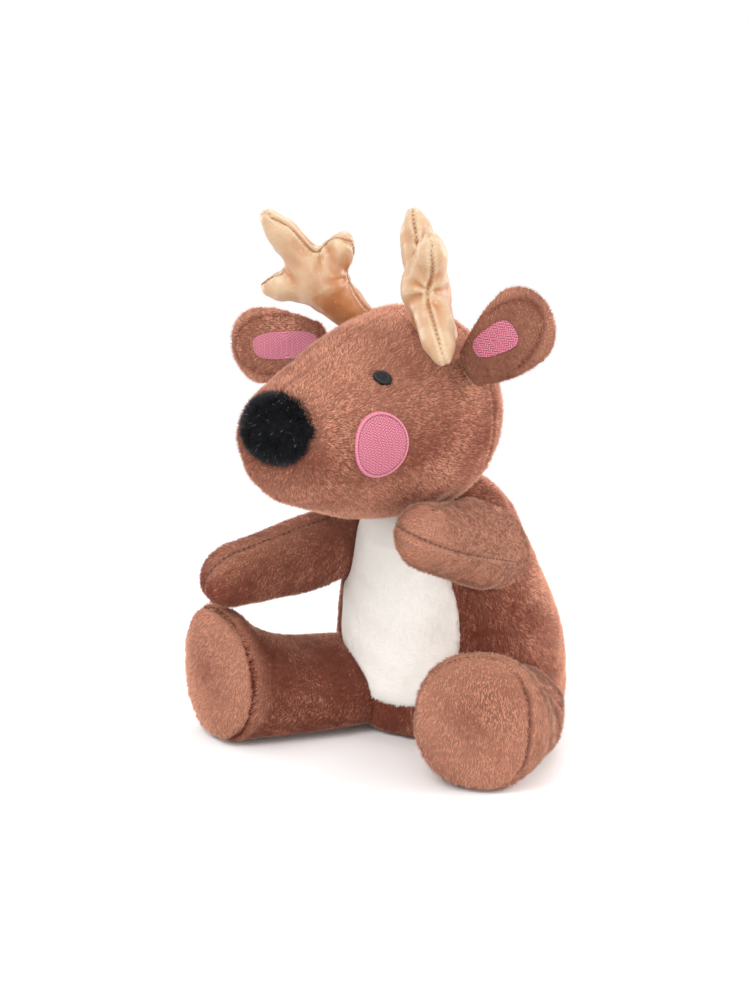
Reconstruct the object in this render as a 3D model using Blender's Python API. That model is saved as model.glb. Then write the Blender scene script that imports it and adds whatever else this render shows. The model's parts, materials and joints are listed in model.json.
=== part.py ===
"""Seated plush deer, in metres with +Z up. It faces -Y, and its own left is +X.

The body, head, arms, legs, ears and antlers are each a closed, swelling form, lofted from rings along a
spine. A cloth piece is the skin of such a form, cut along the seams; the stuffing is the same form, drawn
in by the cloth's thickness. Each limb turns on a round root, which sits in a pocket pressed into the form
that carries it.
"""

import math

import bmesh
import bpy
import numpy as np
from mathutils import Matrix, Vector

# Cloth, stuffing and clearances
plush_thickness = 0.0020
leatherette_thickness = 0.0009
embroidery_thickness = 0.0008
seam_gap = 0.0003
filling_gap = 0.0004
joint_gap = 0.0007
stuffing_gap = 0.0010
cut_overrun = 0.0100

# Body
body_width = 0.1080
body_depth = 0.1040
neck_base_height = 0.0900
neck_base_radius = 0.0390
body_top_height = 0.1200
neck_forward = 0.0140
floor_flat_depth = 0.0005

# Cream tummy panel, in the front view
tummy_left_width = 0.0285
tummy_right_width = 0.0385
tummy_top_height = 0.1060
tummy_tip_height = 0.0165

# Head, measured from the neck's turning axis and the floor
head_turn = -10.0
head_width = 0.0920
head_height = 0.0930
head_centre_forward = 0.0260
head_centre_height = 0.1505
head_back_length = 0.0440
muzzle_length = 0.0770
muzzle_cap_length = 0.0090
head_back_seam_forward = 0.0150
nose_width = 0.0380
nose_height = 0.0310
nose_centre_height = 0.1550
nose_tilt = 22.0
nose_rise = 0.0058
nose_reach = 0.0150

# Embroidered eyes and cheeks
eye_width = 0.0084
eye_height = 0.0066
eye_side = 0.0245
eye_forward = 0.0680
eye_centre_height = 0.1745
eye_turn = 52.0
eye_lift = 40.0
cheek_width = 0.0270
cheek_height = 0.0285
cheek_side = 0.0340
cheek_forward = 0.0800
cheek_centre_height = 0.1490
cheek_turn = 74.0
cheek_lift = 3.0

# Ears
ear_length = 0.0525
ear_width = 0.0360
ear_thickness = 0.0100
ear_root_width = 0.0200
ear_side = 0.0435
ear_forward = 0.0310
ear_base_height = 0.1755
left_ear_lift = 39.0
right_ear_lift = -10.0
ear_swing = 25.0
ear_lining_length = 0.0320
ear_lining_width = 0.0125

# Antlers
antler_side = 0.0255
antler_forward = 0.0295
antler_base_height = 0.1915
antler_root_radius = 0.0085
antler_palm_radius = 0.0112
tine_base_radius = 0.0078
tine_tip_radius = 0.0057
antler_swing = 12.0

# Arms
shoulder_side = 0.0375
shoulder_forward = 0.0300
shoulder_height = 0.0838
arm_length = 0.0770
arm_height = 0.0355
arm_thickness = 0.0270
arm_root_radius = 0.0150
left_arm_turn = -2.0
left_arm_lift = 22.5
left_arm_roll = 40.0
right_arm_turn = 26.0
right_arm_lift = -6.5
right_arm_roll = -30.0
arm_swing_low = -15.0
arm_swing_high = 20.0

# Legs
hip_side = 0.0420
hip_forward = 0.0360
hip_height = 0.0195
left_leg_turn = 22.0
right_leg_turn = 29.5
leg_root_radius = 0.0315
leg_root_height = 0.0380
leg_length = 0.0600
foot_width = 0.0580
foot_height = 0.0635
sole_width = 0.0525
sole_height = 0.0605
sole_dome_length = 0.0085
leg_swing = 12.0
leg_roundness = 0.92
leg_under_roundness = 0.52
leg_settled_share = 0.50

# Facets round each form
body_facets = 22
head_facets = 22
leg_facets = 16
arm_facets = 12
ear_facets = 12
tine_facets = 10
cap_rings = 3
cutter_facets = 22
swing_steps = 3
arm_pocket_share = 0.50
leg_pocket_share = 0.50
ear_pocket_share = 0.25
pocket_facet_share = 0.14
filling_facet_share = 0.17

# Rings of the body from the floor to the neck's base: height as a share of the neck base's height, radius
# as a share of the body's, and how far the ring's centre has moved forward as a share of the neck's
body_ring_shares = (
    (0.000, 0.860, 0.00),
    (0.045, 0.952, 0.00),
    (0.130, 0.990, 0.00),
    (0.260, 1.000, 0.02),
    (0.420, 0.978, 0.10),
    (0.580, 0.926, 0.26),
    (0.740, 0.860, 0.54),
    (0.880, 0.795, 0.82),
    (1.000, 0.722, 1.00),
)
# The dome inside the head's opening: height share above the neck's base, and radius share of the base's
neck_dome_shares = (
    (0.00, 1.000),
    (0.26, 0.930),
    (0.52, 0.800),
    (0.78, 0.580),
    (1.00, 0.000),
)
# Outline of the tummy panel from its tip to its top: height share, half width share
tummy_outline_shares = (
    (0.000, 0.00),
    (0.008, 0.24),
    (0.030, 0.45),
    (0.080, 0.68),
    (0.150, 0.85),
    (0.230, 0.95),
    (0.350, 1.00),
    (0.500, 0.98),
    (0.680, 0.88),
    (0.850, 0.76),
    (1.000, 0.64),
)
# The head in front of its widest ring: share of the muzzle's length, then width, height and drop shares
muzzle_shares = (
    (0.00, 1.000, 1.000, 0.000),
    (0.20, 0.968, 0.962, 0.030),
    (0.40, 0.905, 0.888, 0.050),
    (0.60, 0.818, 0.786, 0.064),
    (0.80, 0.715, 0.665, 0.066),
    (0.93, 0.640, 0.590, 0.060),
    (1.00, 0.585, 0.540, 0.052),
)
# The nose's plug from inside the head to its front: how far along, then width, both as shares
nose_plug_shares = (
    (0.00, 1.00),
    (0.50, 1.00),
    (0.66, 0.96),
    (0.80, 0.87),
    (0.92, 0.72),
    (1.00, 0.50),
)
# The arm beyond its round root: share of its length, then height and thickness shares
arm_shares = (
    (0.00, 0.938, 0.938),
    (0.22, 1.000, 1.000),
    (0.52, 0.920, 0.930),
    (0.80, 0.800, 0.880),
)
# The leg beyond its root: share of its length, width share of the foot's, height share of the foot's
leg_shares = (
    (0.00, 1.080, 0.600),
    (0.22, 1.070, 0.635),
    (0.50, 1.030, 0.705),
    (0.74, 1.010, 0.835),
    (0.88, 1.010, 0.960),
    (0.96, 0.980, 0.985),
)
# The ear beyond its root: share of its length, width share, thickness share
ear_shares = (
    (0.00, 0.610, 0.96),
    (0.20, 0.760, 1.00),
    (0.42, 0.930, 1.00),
    (0.64, 1.000, 0.98),
)
# Points of each antler in its own plane: outward and upward, as shares of the antler's span
antler_span = 0.0500
beam_middle_share = 0.50
tine_middle_share = 0.50
side_tine_root_share = 0.10
side_tine_middle_share = 0.45
right_antler_shares = {
    "palm": (0.25, 0.32),
    "long_tine": (0.69, 0.86),
    "short_tine": (0.07, 0.65),
    "low_tine": (0.67, 0.24),
}
left_antler_shares = {
    "palm": (0.18, 0.38),
    "long_tine": (0.46, 0.89),
    "short_tine": (-0.08, 0.93),
    "low_tine": (0.64, -0.08),
}
right_antler_turn = -50.0
right_antler_lean = 12.0
left_antler_turn = 42.0
left_antler_lean = 17.0

materials = {
    "brown_plush": ((0.310, 0.112, 0.066), 0.95, 0.0),
    "cream_plush": ((0.870, 0.790, 0.700), 0.95, 0.0),
    "black_plush": ((0.015, 0.015, 0.018), 0.95, 0.0),
    "pink_thread": ((0.680, 0.160, 0.240), 0.55, 0.0),
    "black_thread": ((0.012, 0.011, 0.012), 0.45, 0.0),
    "tan_leatherette": ((0.640, 0.410, 0.215), 0.35, 0.15),
    "fibre_filling": ((0.850, 0.850, 0.830), 0.90, 0.0),
}


def clear_scene():
    for thing in list(bpy.data.objects):
        bpy.data.objects.remove(thing, do_unlink=True)


def make_material(name):
    colour, roughness, metallic = materials[name]
    material = bpy.data.materials.new(name)
    material.use_nodes = True
    shader = material.node_tree.nodes["Principled BSDF"]
    shader.inputs["Base Color"].default_value = (*colour, 1.0)
    shader.inputs["Roughness"].default_value = roughness
    shader.inputs["Metallic"].default_value = metallic
    return material


def smooth_column(knots, values, at):
    """A monotone cubic through the knots, so that a form never bulges between two rings of one size."""
    steps = np.diff(knots)
    slopes = np.diff(values) / steps
    tangents = np.zeros(len(knots))
    inner = slopes[:-1] * slopes[1:] > 0
    weight_a = 2 * steps[1:] + steps[:-1]
    weight_b = steps[1:] + 2 * steps[:-1]
    with np.errstate(divide="ignore", invalid="ignore"):
        mean = (weight_a + weight_b) / (weight_a / slopes[:-1] + weight_b / slopes[1:])
    tangents[1:-1] = np.where(inner, mean, 0.0)
    tangents[0] = slopes[0]
    tangents[-1] = slopes[-1]
    piece = np.clip(np.searchsorted(knots, at, side="right") - 1, 0, len(steps) - 1)
    width = steps[piece]
    t = (at - knots[piece]) / width
    return (
        values[piece] * (1 + 2 * t) * (1 - t) ** 2
        + tangents[piece] * width * t * (1 - t) ** 2
        + values[piece + 1] * t**2 * (3 - 2 * t)
        + tangents[piece + 1] * width * t**2 * (t - 1)
    )


def smooth_rows(shares, at):
    """The table's columns after its first, read at the given values of the first."""
    table = np.array(shares, float)
    return [smooth_column(table[:, 0], column, np.asarray(at, float)) for column in table.T[1:]]


def ring(centre, across, upward, facets, roundness=1.0, under_roundness=None):
    """One ellipse of points, from its two half axes. A roundness below 1 fills out its corners, and the
    lower half may have its own."""
    turn = np.arange(facets) * math.tau / facets
    power = np.where(np.sin(turn) < 0, under_roundness or roundness, roundness)
    cosine = np.sign(np.cos(turn)) * np.abs(np.cos(turn)) ** power
    sine = np.sign(np.sin(turn)) * np.abs(np.sin(turn)) ** power
    return centre + cosine[:, None] * across + sine[:, None] * upward


def loft(name, start, rings, end):
    """A closed mesh from a start point through the rings to an end point, with its faces turned out."""
    shape = bmesh.new()
    rows = [[shape.verts.new(point) for point in row] for row in rings]
    first = shape.verts.new(start)
    last = shape.verts.new(end)
    for row, after in zip(rows[:-1], rows[1:]):
        for index in range(len(row)):
            following = (index + 1) % len(row)
            shape.faces.new((row[index], row[following], after[following], after[index]))
    for index in range(len(rows[0])):
        following = (index + 1) % len(rows[0])
        shape.faces.new((first, rows[0][following], rows[0][index]))
        shape.faces.new((last, rows[-1][index], rows[-1][following]))
    bmesh.ops.recalc_face_normals(shape, faces=shape.faces)
    mesh = bpy.data.meshes.new(name)
    shape.to_mesh(mesh)
    shape.free()
    return mesh


def grown(mesh, distance):
    """A copy of the mesh, moved out along its normals, or in where the distance is below zero."""
    shape = bmesh.new()
    shape.from_mesh(mesh)
    shape.normal_update()
    moved = [v.co + v.normal * (distance * v.calc_shell_factor()) for v in shape.verts]
    for vertex, place in zip(shape.verts, moved):
        vertex.co = place
    copy = bpy.data.meshes.new(mesh.name + "_grown")
    shape.to_mesh(copy)
    shape.free()
    return copy


def cap_stations(count):
    """Quarter circle from its rim towards its pole: (how far along, how wide), both as shares."""
    turns = (np.arange(count) + 1) * (math.pi / 2) / (count + 1)
    return np.sin(turns), np.cos(turns)


def placed(thing, parent, matrix):
    bpy.context.scene.collection.objects.link(thing)
    thing.parent = parent
    thing.matrix_parent_inverse = Matrix.Identity(4)
    thing.matrix_basis = matrix
    return thing


def joint_empty(name, parent, matrix):
    return placed(bpy.data.objects.new(name, None), parent, matrix)


def cutter(name, mesh, parent, matrix=Matrix.Identity(4)):
    tool = placed(bpy.data.objects.new(name, mesh), parent, matrix)
    tool.hide_render = True
    tool.display_type = "WIRE"
    return tool


def box_mesh(name, low, high):
    shape = bmesh.new()
    bmesh.ops.create_cube(shape, size=1.0)
    size = Vector(abs(b - a) for a, b in zip(low, high))
    middle = (Vector(high) + Vector(low)) / 2
    for vertex in shape.verts:
        vertex.co = Vector(a * b + c for a, b, c in zip(vertex.co, size, middle))
    mesh = bpy.data.meshes.new(name)
    shape.to_mesh(mesh)
    shape.free()
    return mesh


def slab(name, axis, low, high, reach):
    """A box as large as the reach, kept between low and high along one axis."""
    near = [-reach] * 3
    far = [reach] * 3
    near[axis] = low
    far[axis] = high
    return box_mesh(name, near, far)


def prism_mesh(name, outline, depth_from, depth_to):
    """A prism along Y whose outline holds (x, z) points."""
    shape = bmesh.new()
    near = [shape.verts.new((x, depth_from, z)) for x, z in outline]
    far = [shape.verts.new((x, depth_to, z)) for x, z in outline]
    shape.faces.new(near)
    shape.faces.new(far[::-1])
    for index in range(len(outline)):
        following = (index + 1) % len(outline)
        shape.faces.new((near[following], near[index], far[index], far[following]))
    bmesh.ops.recalc_face_normals(shape, faces=shape.faces)
    mesh = bpy.data.meshes.new(name)
    shape.to_mesh(mesh)
    shape.free()
    return mesh


def ellipse_outline(width, height, facets=cutter_facets):
    turn = np.arange(facets) * math.tau / facets
    return list(zip(np.cos(turn) * width / 2, np.sin(turn) * height / 2))


def boolean(thing, operation, tool):
    change = thing.modifiers.new(operation.lower() + "_" + tool.name, "BOOLEAN")
    change.operation = operation
    change.solver = "EXACT"
    change.object = tool


def piece(name, mesh, material, parent, cuts=(), keeps=(), skin=0.0):
    """A node: its form, made a skin where a thickness is given, kept inside some tools and cut by others."""
    own = mesh.copy()
    own.name = name
    thing = placed(bpy.data.objects.new(name, own), parent, Matrix.Identity(4))
    own.materials.append(material)
    own.shade_smooth()
    if skin:
        wall = thing.modifiers.new("cloth", "SOLIDIFY")
        wall.thickness = skin
        wall.offset = -1.0
        wall.use_even_offset = True
    for tool in keeps:
        boolean(thing, "INTERSECT", tool)
    for tool in cuts:
        boolean(thing, "DIFFERENCE", tool)
    return thing


def joined(name, parts, parent):
    """One mesh that is the union of several overlapping ones."""
    whole = placed(bpy.data.objects.new(name, parts[0]), parent, Matrix.Identity(4))
    others = [cutter(f"{name}_part_{index}", part, parent) for index, part in enumerate(parts[1:])]
    for other in others:
        boolean(whole, "UNION", other)
    bpy.context.view_layer.update()
    graph = bpy.context.evaluated_depsgraph_get()
    mesh = bpy.data.meshes.new_from_object(whole.evaluated_get(graph))
    for thing in (whole, *others):
        bpy.data.objects.remove(thing, do_unlink=True)
    return mesh


def facing(turn, lift):
    """Rotation that carries +X along a horizontal direction, turned from the deer's front towards its left,
    and then lifted. Its Z stays as near upright as it can."""
    return (
        Matrix.Rotation(math.radians(turn - 90.0), 4, "Z") @ Matrix.Rotation(math.radians(-lift), 4, "Y")
    )


def body_form(facets):
    heights = np.array([row[0] for row in body_ring_shares])
    table = smooth_rows(body_ring_shares, heights)
    rings = []
    neck_share = body_ring_shares[-1][1]
    for share, radius, forward in zip(heights, *table):
        blend = max(0.0, (share - heights[4]) / (heights[-1] - heights[4]))
        half_width = body_width / 2 * radius
        half_depth = body_depth / 2 * radius
        half_width += (neck_base_radius - body_width / 2 * neck_share) * blend
        half_depth += (neck_base_radius - body_depth / 2 * neck_share) * blend
        centre = np.array([0.0, -neck_forward * forward, neck_base_height * share])
        rings.append(ring(centre, np.array([half_width, 0, 0]), np.array([0, half_depth, 0]), facets))
    for point in neck_profile(0.0)[1:-1]:
        centre = np.array([0.0, -neck_forward, point[1]])
        rings.append(ring(centre, np.array([point[0], 0, 0]), np.array([0, point[0], 0]), facets))
    return loft("body_form", (0, 0, 0), rings, (0, -neck_forward, body_top_height))


def neck_profile(clearance):
    """(radius, height) points of the neck's dome, moved out by a clearance."""
    rise = body_top_height - neck_base_height
    points = []
    for height, radius in neck_dome_shares:
        points.append((neck_base_radius * radius, neck_base_height + rise * height))
    if not clearance:
        return points
    moved = []
    for index, (radius, height) in enumerate(points):
        before = points[max(index - 1, 0)]
        after = points[min(index + 1, len(points) - 1)]
        along = Vector((after[0] - before[0], after[1] - before[1])).normalized()
        moved.append((max(radius + along.y * clearance, 0.0), height - along.x * clearance))
    return moved


def neck_cutter(parent):
    """The turned hollow that the neck's dome leaves in the head, in the head's own frame."""
    round_up = 1 / math.cos(math.pi / body_facets)
    profile = neck_profile(joint_gap)
    rings = []
    low = (profile[0][0], profile[0][1] - cut_overrun)
    for radius, height in [low, *profile[:-1]]:
        across = np.array([radius * round_up, 0, 0])
        upward = np.array([0, radius * round_up, 0])
        rings.append(ring(np.array([0, 0, height - neck_base_height]), across, upward, body_facets))
    top = profile[-1][1] - neck_base_height
    bottom = low[1] - neck_base_height
    return cutter("neck_cutter", loft("neck_cutter", (0, 0, bottom), rings, (0, 0, top)), parent)


def tummy_outline(gap):
    heights = np.array([row[0] for row in tummy_outline_shares])
    widths = np.array([row[1] for row in tummy_outline_shares])
    tall = tummy_top_height - tummy_tip_height
    rows = list(zip(tummy_tip_height + tall * heights[1:], widths[1:]))
    left = [(tummy_left_width * width + gap, height) for height, width in rows]
    right = [(-tummy_right_width * width - gap, height) for height, width in rows]
    tip = [(0.0, tummy_tip_height - gap)]
    left[-1] = (left[-1][0], left[-1][1] + gap)
    right[-1] = (right[-1][0], right[-1][1] + gap)
    return tip + left + right[::-1]


def head_form(facets):
    """Rings from the back of the head to the front of the muzzle, in the head's own frame. Its origin is on
    the neck's axis at the neck's base."""
    half_width = head_width / 2
    half_height = head_height / 2
    level = head_centre_height - neck_base_height
    rings = []
    along, wide = cap_stations(cap_rings + 1)
    for distance, scale in zip(along[::-1], wide[::-1]):
        centre = np.array([0, -head_centre_forward + head_back_length * distance, level])
        across = np.array([half_width * scale, 0, 0])
        upward = np.array([0, 0, half_height * scale])
        rings.append(ring(centre, across, upward, facets))
    stations = np.array([row[0] for row in muzzle_shares])
    for share, width, height, drop in zip(stations, *smooth_rows(muzzle_shares, stations)):
        centre = np.array([0, -head_centre_forward - muzzle_length * share, level - half_height * drop])
        across = np.array([half_width * width, 0, 0])
        upward = np.array([0, 0, half_height * height])
        rings.append(ring(centre, across, upward, facets))
    end_width, end_height, end_drop = muzzle_shares[-1][1:]
    front = -head_centre_forward - muzzle_length
    end_level = level - half_height * end_drop
    for distance, scale in zip(*cap_stations(cap_rings)):
        centre = np.array([0, front - muzzle_cap_length * distance, end_level])
        across = np.array([half_width * end_width * scale, 0, 0])
        upward = np.array([0, 0, half_height * end_height * scale])
        rings.append(ring(centre, across, upward, facets))
    back = (0, -head_centre_forward + head_back_length, level)
    return loft("head_form", back, rings, (0, front - muzzle_cap_length, end_level))


def nose_plug():
    """The rounded plug along -Y that gives the nose its outline and its soft rim."""
    rings = []
    for reach_share, width_share in nose_plug_shares:
        centre = np.array([0, cut_overrun - (cut_overrun + nose_reach) * reach_share, 0])
        across = np.array([(nose_width - seam_gap) / 2 * width_share, 0, 0])
        upward = np.array([0, 0, (nose_height - seam_gap) / 2 * width_share])
        rings.append(ring(centre, across, upward, cutter_facets))
    return loft("nose_plug", (0, cut_overrun, 0), rings, (0, -nose_reach, 0))


def limb_form(name, facets, root, stations, sections, cap_from, cap_length, cap_section):
    """A form along +X from a round root at the origin. root is (radius along X, half width in Y, half height
    in Z). Each section is (half width, half height, lift, roll, roundness, under roundness). The cap closes
    the far end."""
    rings = []
    along, wide = cap_stations(cap_rings)
    root_bend = sections[0][2:]
    for distance, scale in zip(along[::-1], wide[::-1]):
        rings.append(section_ring(-root[0] * distance, root[1] * scale, root[2] * scale, *root_bend, facets))
    for x, section in zip(stations, sections):
        rings.append(section_ring(x, *section, facets))
    half_width, half_height, *bend = cap_section
    for distance, scale in zip(along, wide):
        x = cap_from + cap_length * distance
        rings.append(section_ring(x, half_width * scale, half_height * scale, *bend, facets))
    return loft(name, (-root[0], 0, root_bend[0]), rings, (cap_from + cap_length, 0, bend[0]))


def section_ring(x, half_width, half_height, lift, roll, roundness, under_roundness, facets):
    lean = math.radians(roll)
    across = np.array([0, math.cos(lean), math.sin(lean)]) * half_width
    upward = np.array([0, -math.sin(lean), math.cos(lean)]) * half_height
    return ring(np.array([x, 0, lift]), across, upward, facets, roundness, under_roundness)


def arm_form(roll, facets):
    stations = np.array([row[0] for row in arm_shares])
    heights, thicknesses = smooth_rows(arm_shares, stations)
    cap_from = arm_length * stations[-1]
    sections = []
    for share, height, thickness in zip(stations, heights, thicknesses):
        full = share / stations[1] if share < stations[1] else 1.0
        half_height = arm_root_radius * (1 - full) + arm_height / 2 * height * full
        half_thickness = arm_root_radius * (1 - full) + arm_thickness / 2 * thickness * full
        sections.append((half_thickness, half_height, 0.0, roll, 1.0, 1.0))
    root = (arm_root_radius, arm_root_radius, arm_root_radius)
    cap = (cap_from, arm_length - cap_from, sections[-1])
    return limb_form("arm_form", facets, root, arm_length * stations, sections, *cap)


def leg_form(facets):
    """The leg lies along +X with its hinge at the origin, and its underside follows the floor."""
    stations = np.array([row[0] for row in leg_shares])
    widths, heights = smooth_rows(leg_shares, stations)
    sections = []
    for share, width, height in zip(stations, widths, heights):
        half_height = foot_height / 2 * height
        settle = min(share / leg_settled_share, 1.0)
        lift = (half_height - floor_flat_depth - hip_height) * settle
        under = leg_under_roundness + (leg_roundness - leg_under_roundness) * share
        if share == 0:
            sections.append((leg_root_radius, leg_root_height / 2, 0.0, 0.0, 1.0, under))
            continue
        roundness = 1 - (1 - leg_roundness) * settle
        sections.append((foot_width / 2 * width, half_height, lift, 0.0, roundness, under))
    seam_lift = foot_height / 2 - floor_flat_depth - hip_height
    seam = (sole_width / 2, sole_height / 2, seam_lift, 0.0, leg_roundness, leg_roundness)
    root = (leg_root_radius, leg_root_radius, leg_root_height / 2)
    all_stations = [*(leg_length * stations), leg_length]
    cap = (leg_length, sole_dome_length, seam)
    return limb_form("leg_form", facets, root, all_stations, [*sections, seam], *cap)


def ear_form(facets):
    """The ear lies along +X, its width along Z and its thickness along Y, with its hinge along Z."""
    stations = np.array([row[0] for row in ear_shares])
    widths, thicknesses = smooth_rows(ear_shares, stations)
    sections = []
    for width, thickness in zip(widths, thicknesses):
        sections.append((ear_thickness / 2 * thickness, ear_width / 2 * width, 0.0, 0.0, 1.0, 1.0))
    sections[0] = (ear_thickness / 2, ear_root_width / 2, 0.0, 0.0, 1.0, 1.0)
    root = (ear_thickness / 2, ear_thickness / 2, ear_root_width / 2)
    cap_from = ear_length * stations[-1]
    cap = (cap_from, ear_length - cap_from, sections[-1])
    return limb_form("ear_form", facets, root, ear_length * stations, sections, *cap)


def tine_form(name, points, radii, shrink, facets):
    """A round tube through the points, closed by half balls, with its skin drawn in by shrink."""
    path = [Vector(point) for point in points]
    rings = []
    along, wide = cap_stations(cap_rings - 1)
    first = (path[1] - path[0]).normalized()
    last = (path[-1] - path[-2]).normalized()
    steps = []
    for distance, scale in zip(along[::-1], wide[::-1]):
        radius = radii[0] - shrink
        steps.append((path[0] - first * (radius * distance), first, radius * scale))
    for index, (point, radius) in enumerate(zip(path, radii)):
        before = path[max(index - 1, 0)]
        after = path[min(index + 1, len(path) - 1)]
        steps.append((point, (after - before).normalized(), radius - shrink))
    for distance, scale in zip(along, wide):
        radius = radii[-1] - shrink
        steps.append((path[-1] + last * (radius * distance), last, radius * scale))
    for centre, direction, radius in steps:
        upward = Vector((0, 1, 0)) - direction * direction.y
        upward.normalize()
        across = direction.cross(upward)
        rings.append(ring(np.array(centre), np.array(across) * radius, np.array(upward) * radius, facets))
    start = path[0] - first * (radii[0] - shrink)
    end = path[-1] + last * (radii[-1] - shrink)
    return loft(name, start, rings, end)


def between(a, b, share):
    return tuple(p + (q - p) * share for p, q in zip(a, b))


def antler_mesh(name, shares, shrink, parent, facets):
    """The antler in its own plane, X outward and Z up, as one mesh."""
    at = {key: (antler_span * u, 0.0, antler_span * v) for key, (u, v) in shares.items()}
    base = (0.0, 0.0, 0.0)
    palm = at["palm"]
    half_beam = between(base, palm, beam_middle_share)
    parts = []
    for index, key in enumerate(("long_tine", "short_tine", "low_tine")):
        tip = at[key]
        middle = between(palm, tip, tine_middle_share)
        if index == 0:
            points = (base, half_beam, palm, middle, tip)
            radii = (
                antler_root_radius,
                (antler_root_radius + antler_palm_radius) / 2,
                antler_palm_radius,
                tine_base_radius,
                tine_tip_radius,
            )
        else:
            root = between(palm, base, side_tine_root_share)
            points = (root, between(palm, tip, side_tine_middle_share), tip)
            radii = (tine_base_radius, tine_base_radius, tine_tip_radius)
        parts.append(tine_form(f"{name}_{key}", points, radii, shrink, facets))
    return joined(name, parts, parent)


def antler_root_form(shares):
    """The lower half of the antler's beam, which its pocket in the head has to clear."""
    base = (0.0, 0.0, 0.0)
    palm = (antler_span * shares["palm"][0], 0.0, antler_span * shares["palm"][1])
    radii = (antler_root_radius, (antler_root_radius + antler_palm_radius) / 2)
    return tine_form("root", (base, between(base, palm, beam_middle_share)), radii, 0.0, tine_facets)


def pocket_cutters(name, mesh, parent, axis, low, high, reach):
    """The pockets that one swinging root presses into the cloth and, with fewer facets, the stuffing."""
    swing = (axis, low, high, reach)
    return {
        "cloth": pocket_cutter(name, mesh, parent, swing, pocket_facet_share, joint_gap),
        "stuffing": pocket_cutter(
            name + "_deep", mesh, parent, swing, filling_facet_share, joint_gap + stuffing_gap
        ),
    }


def pocket_cutter(name, mesh, parent, swing, facet_share, clearance):
    """The rounded space that a limb's root takes up as it swings, a clearance larger than the root itself.
    It holds the part of the limb that lies behind the given reach along X."""
    axis, low, high, reach = swing
    root = -min(vertex.co.x for vertex in mesh.vertices)
    facet_loss = root * facet_share**2 / 3
    bigger = grown(mesh, clearance + facet_loss)
    near = [vertex.co.copy() for vertex in bigger.vertices if vertex.co.x <= reach]
    shape = bmesh.new()
    for index in range(swing_steps):
        turn = Matrix.Rotation(math.radians(low + (high - low) * index / (swing_steps - 1)), 4, axis)
        for point in near:
            shape.verts.new(turn @ point)
    bmesh.ops.remove_doubles(shape, verts=shape.verts, dist=root * facet_share)
    hull = bmesh.ops.convex_hull(shape, input=shape.verts)
    spare = [item for item in hull["geom_interior"] if isinstance(item, bmesh.types.BMVert)]
    bmesh.ops.delete(shape, geom=spare, context="VERTS")
    bmesh.ops.recalc_face_normals(shape, faces=shape.faces)
    pocket = bpy.data.meshes.new(name)
    shape.to_mesh(pocket)
    shape.free()
    return cutter(name, pocket, parent)


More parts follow.
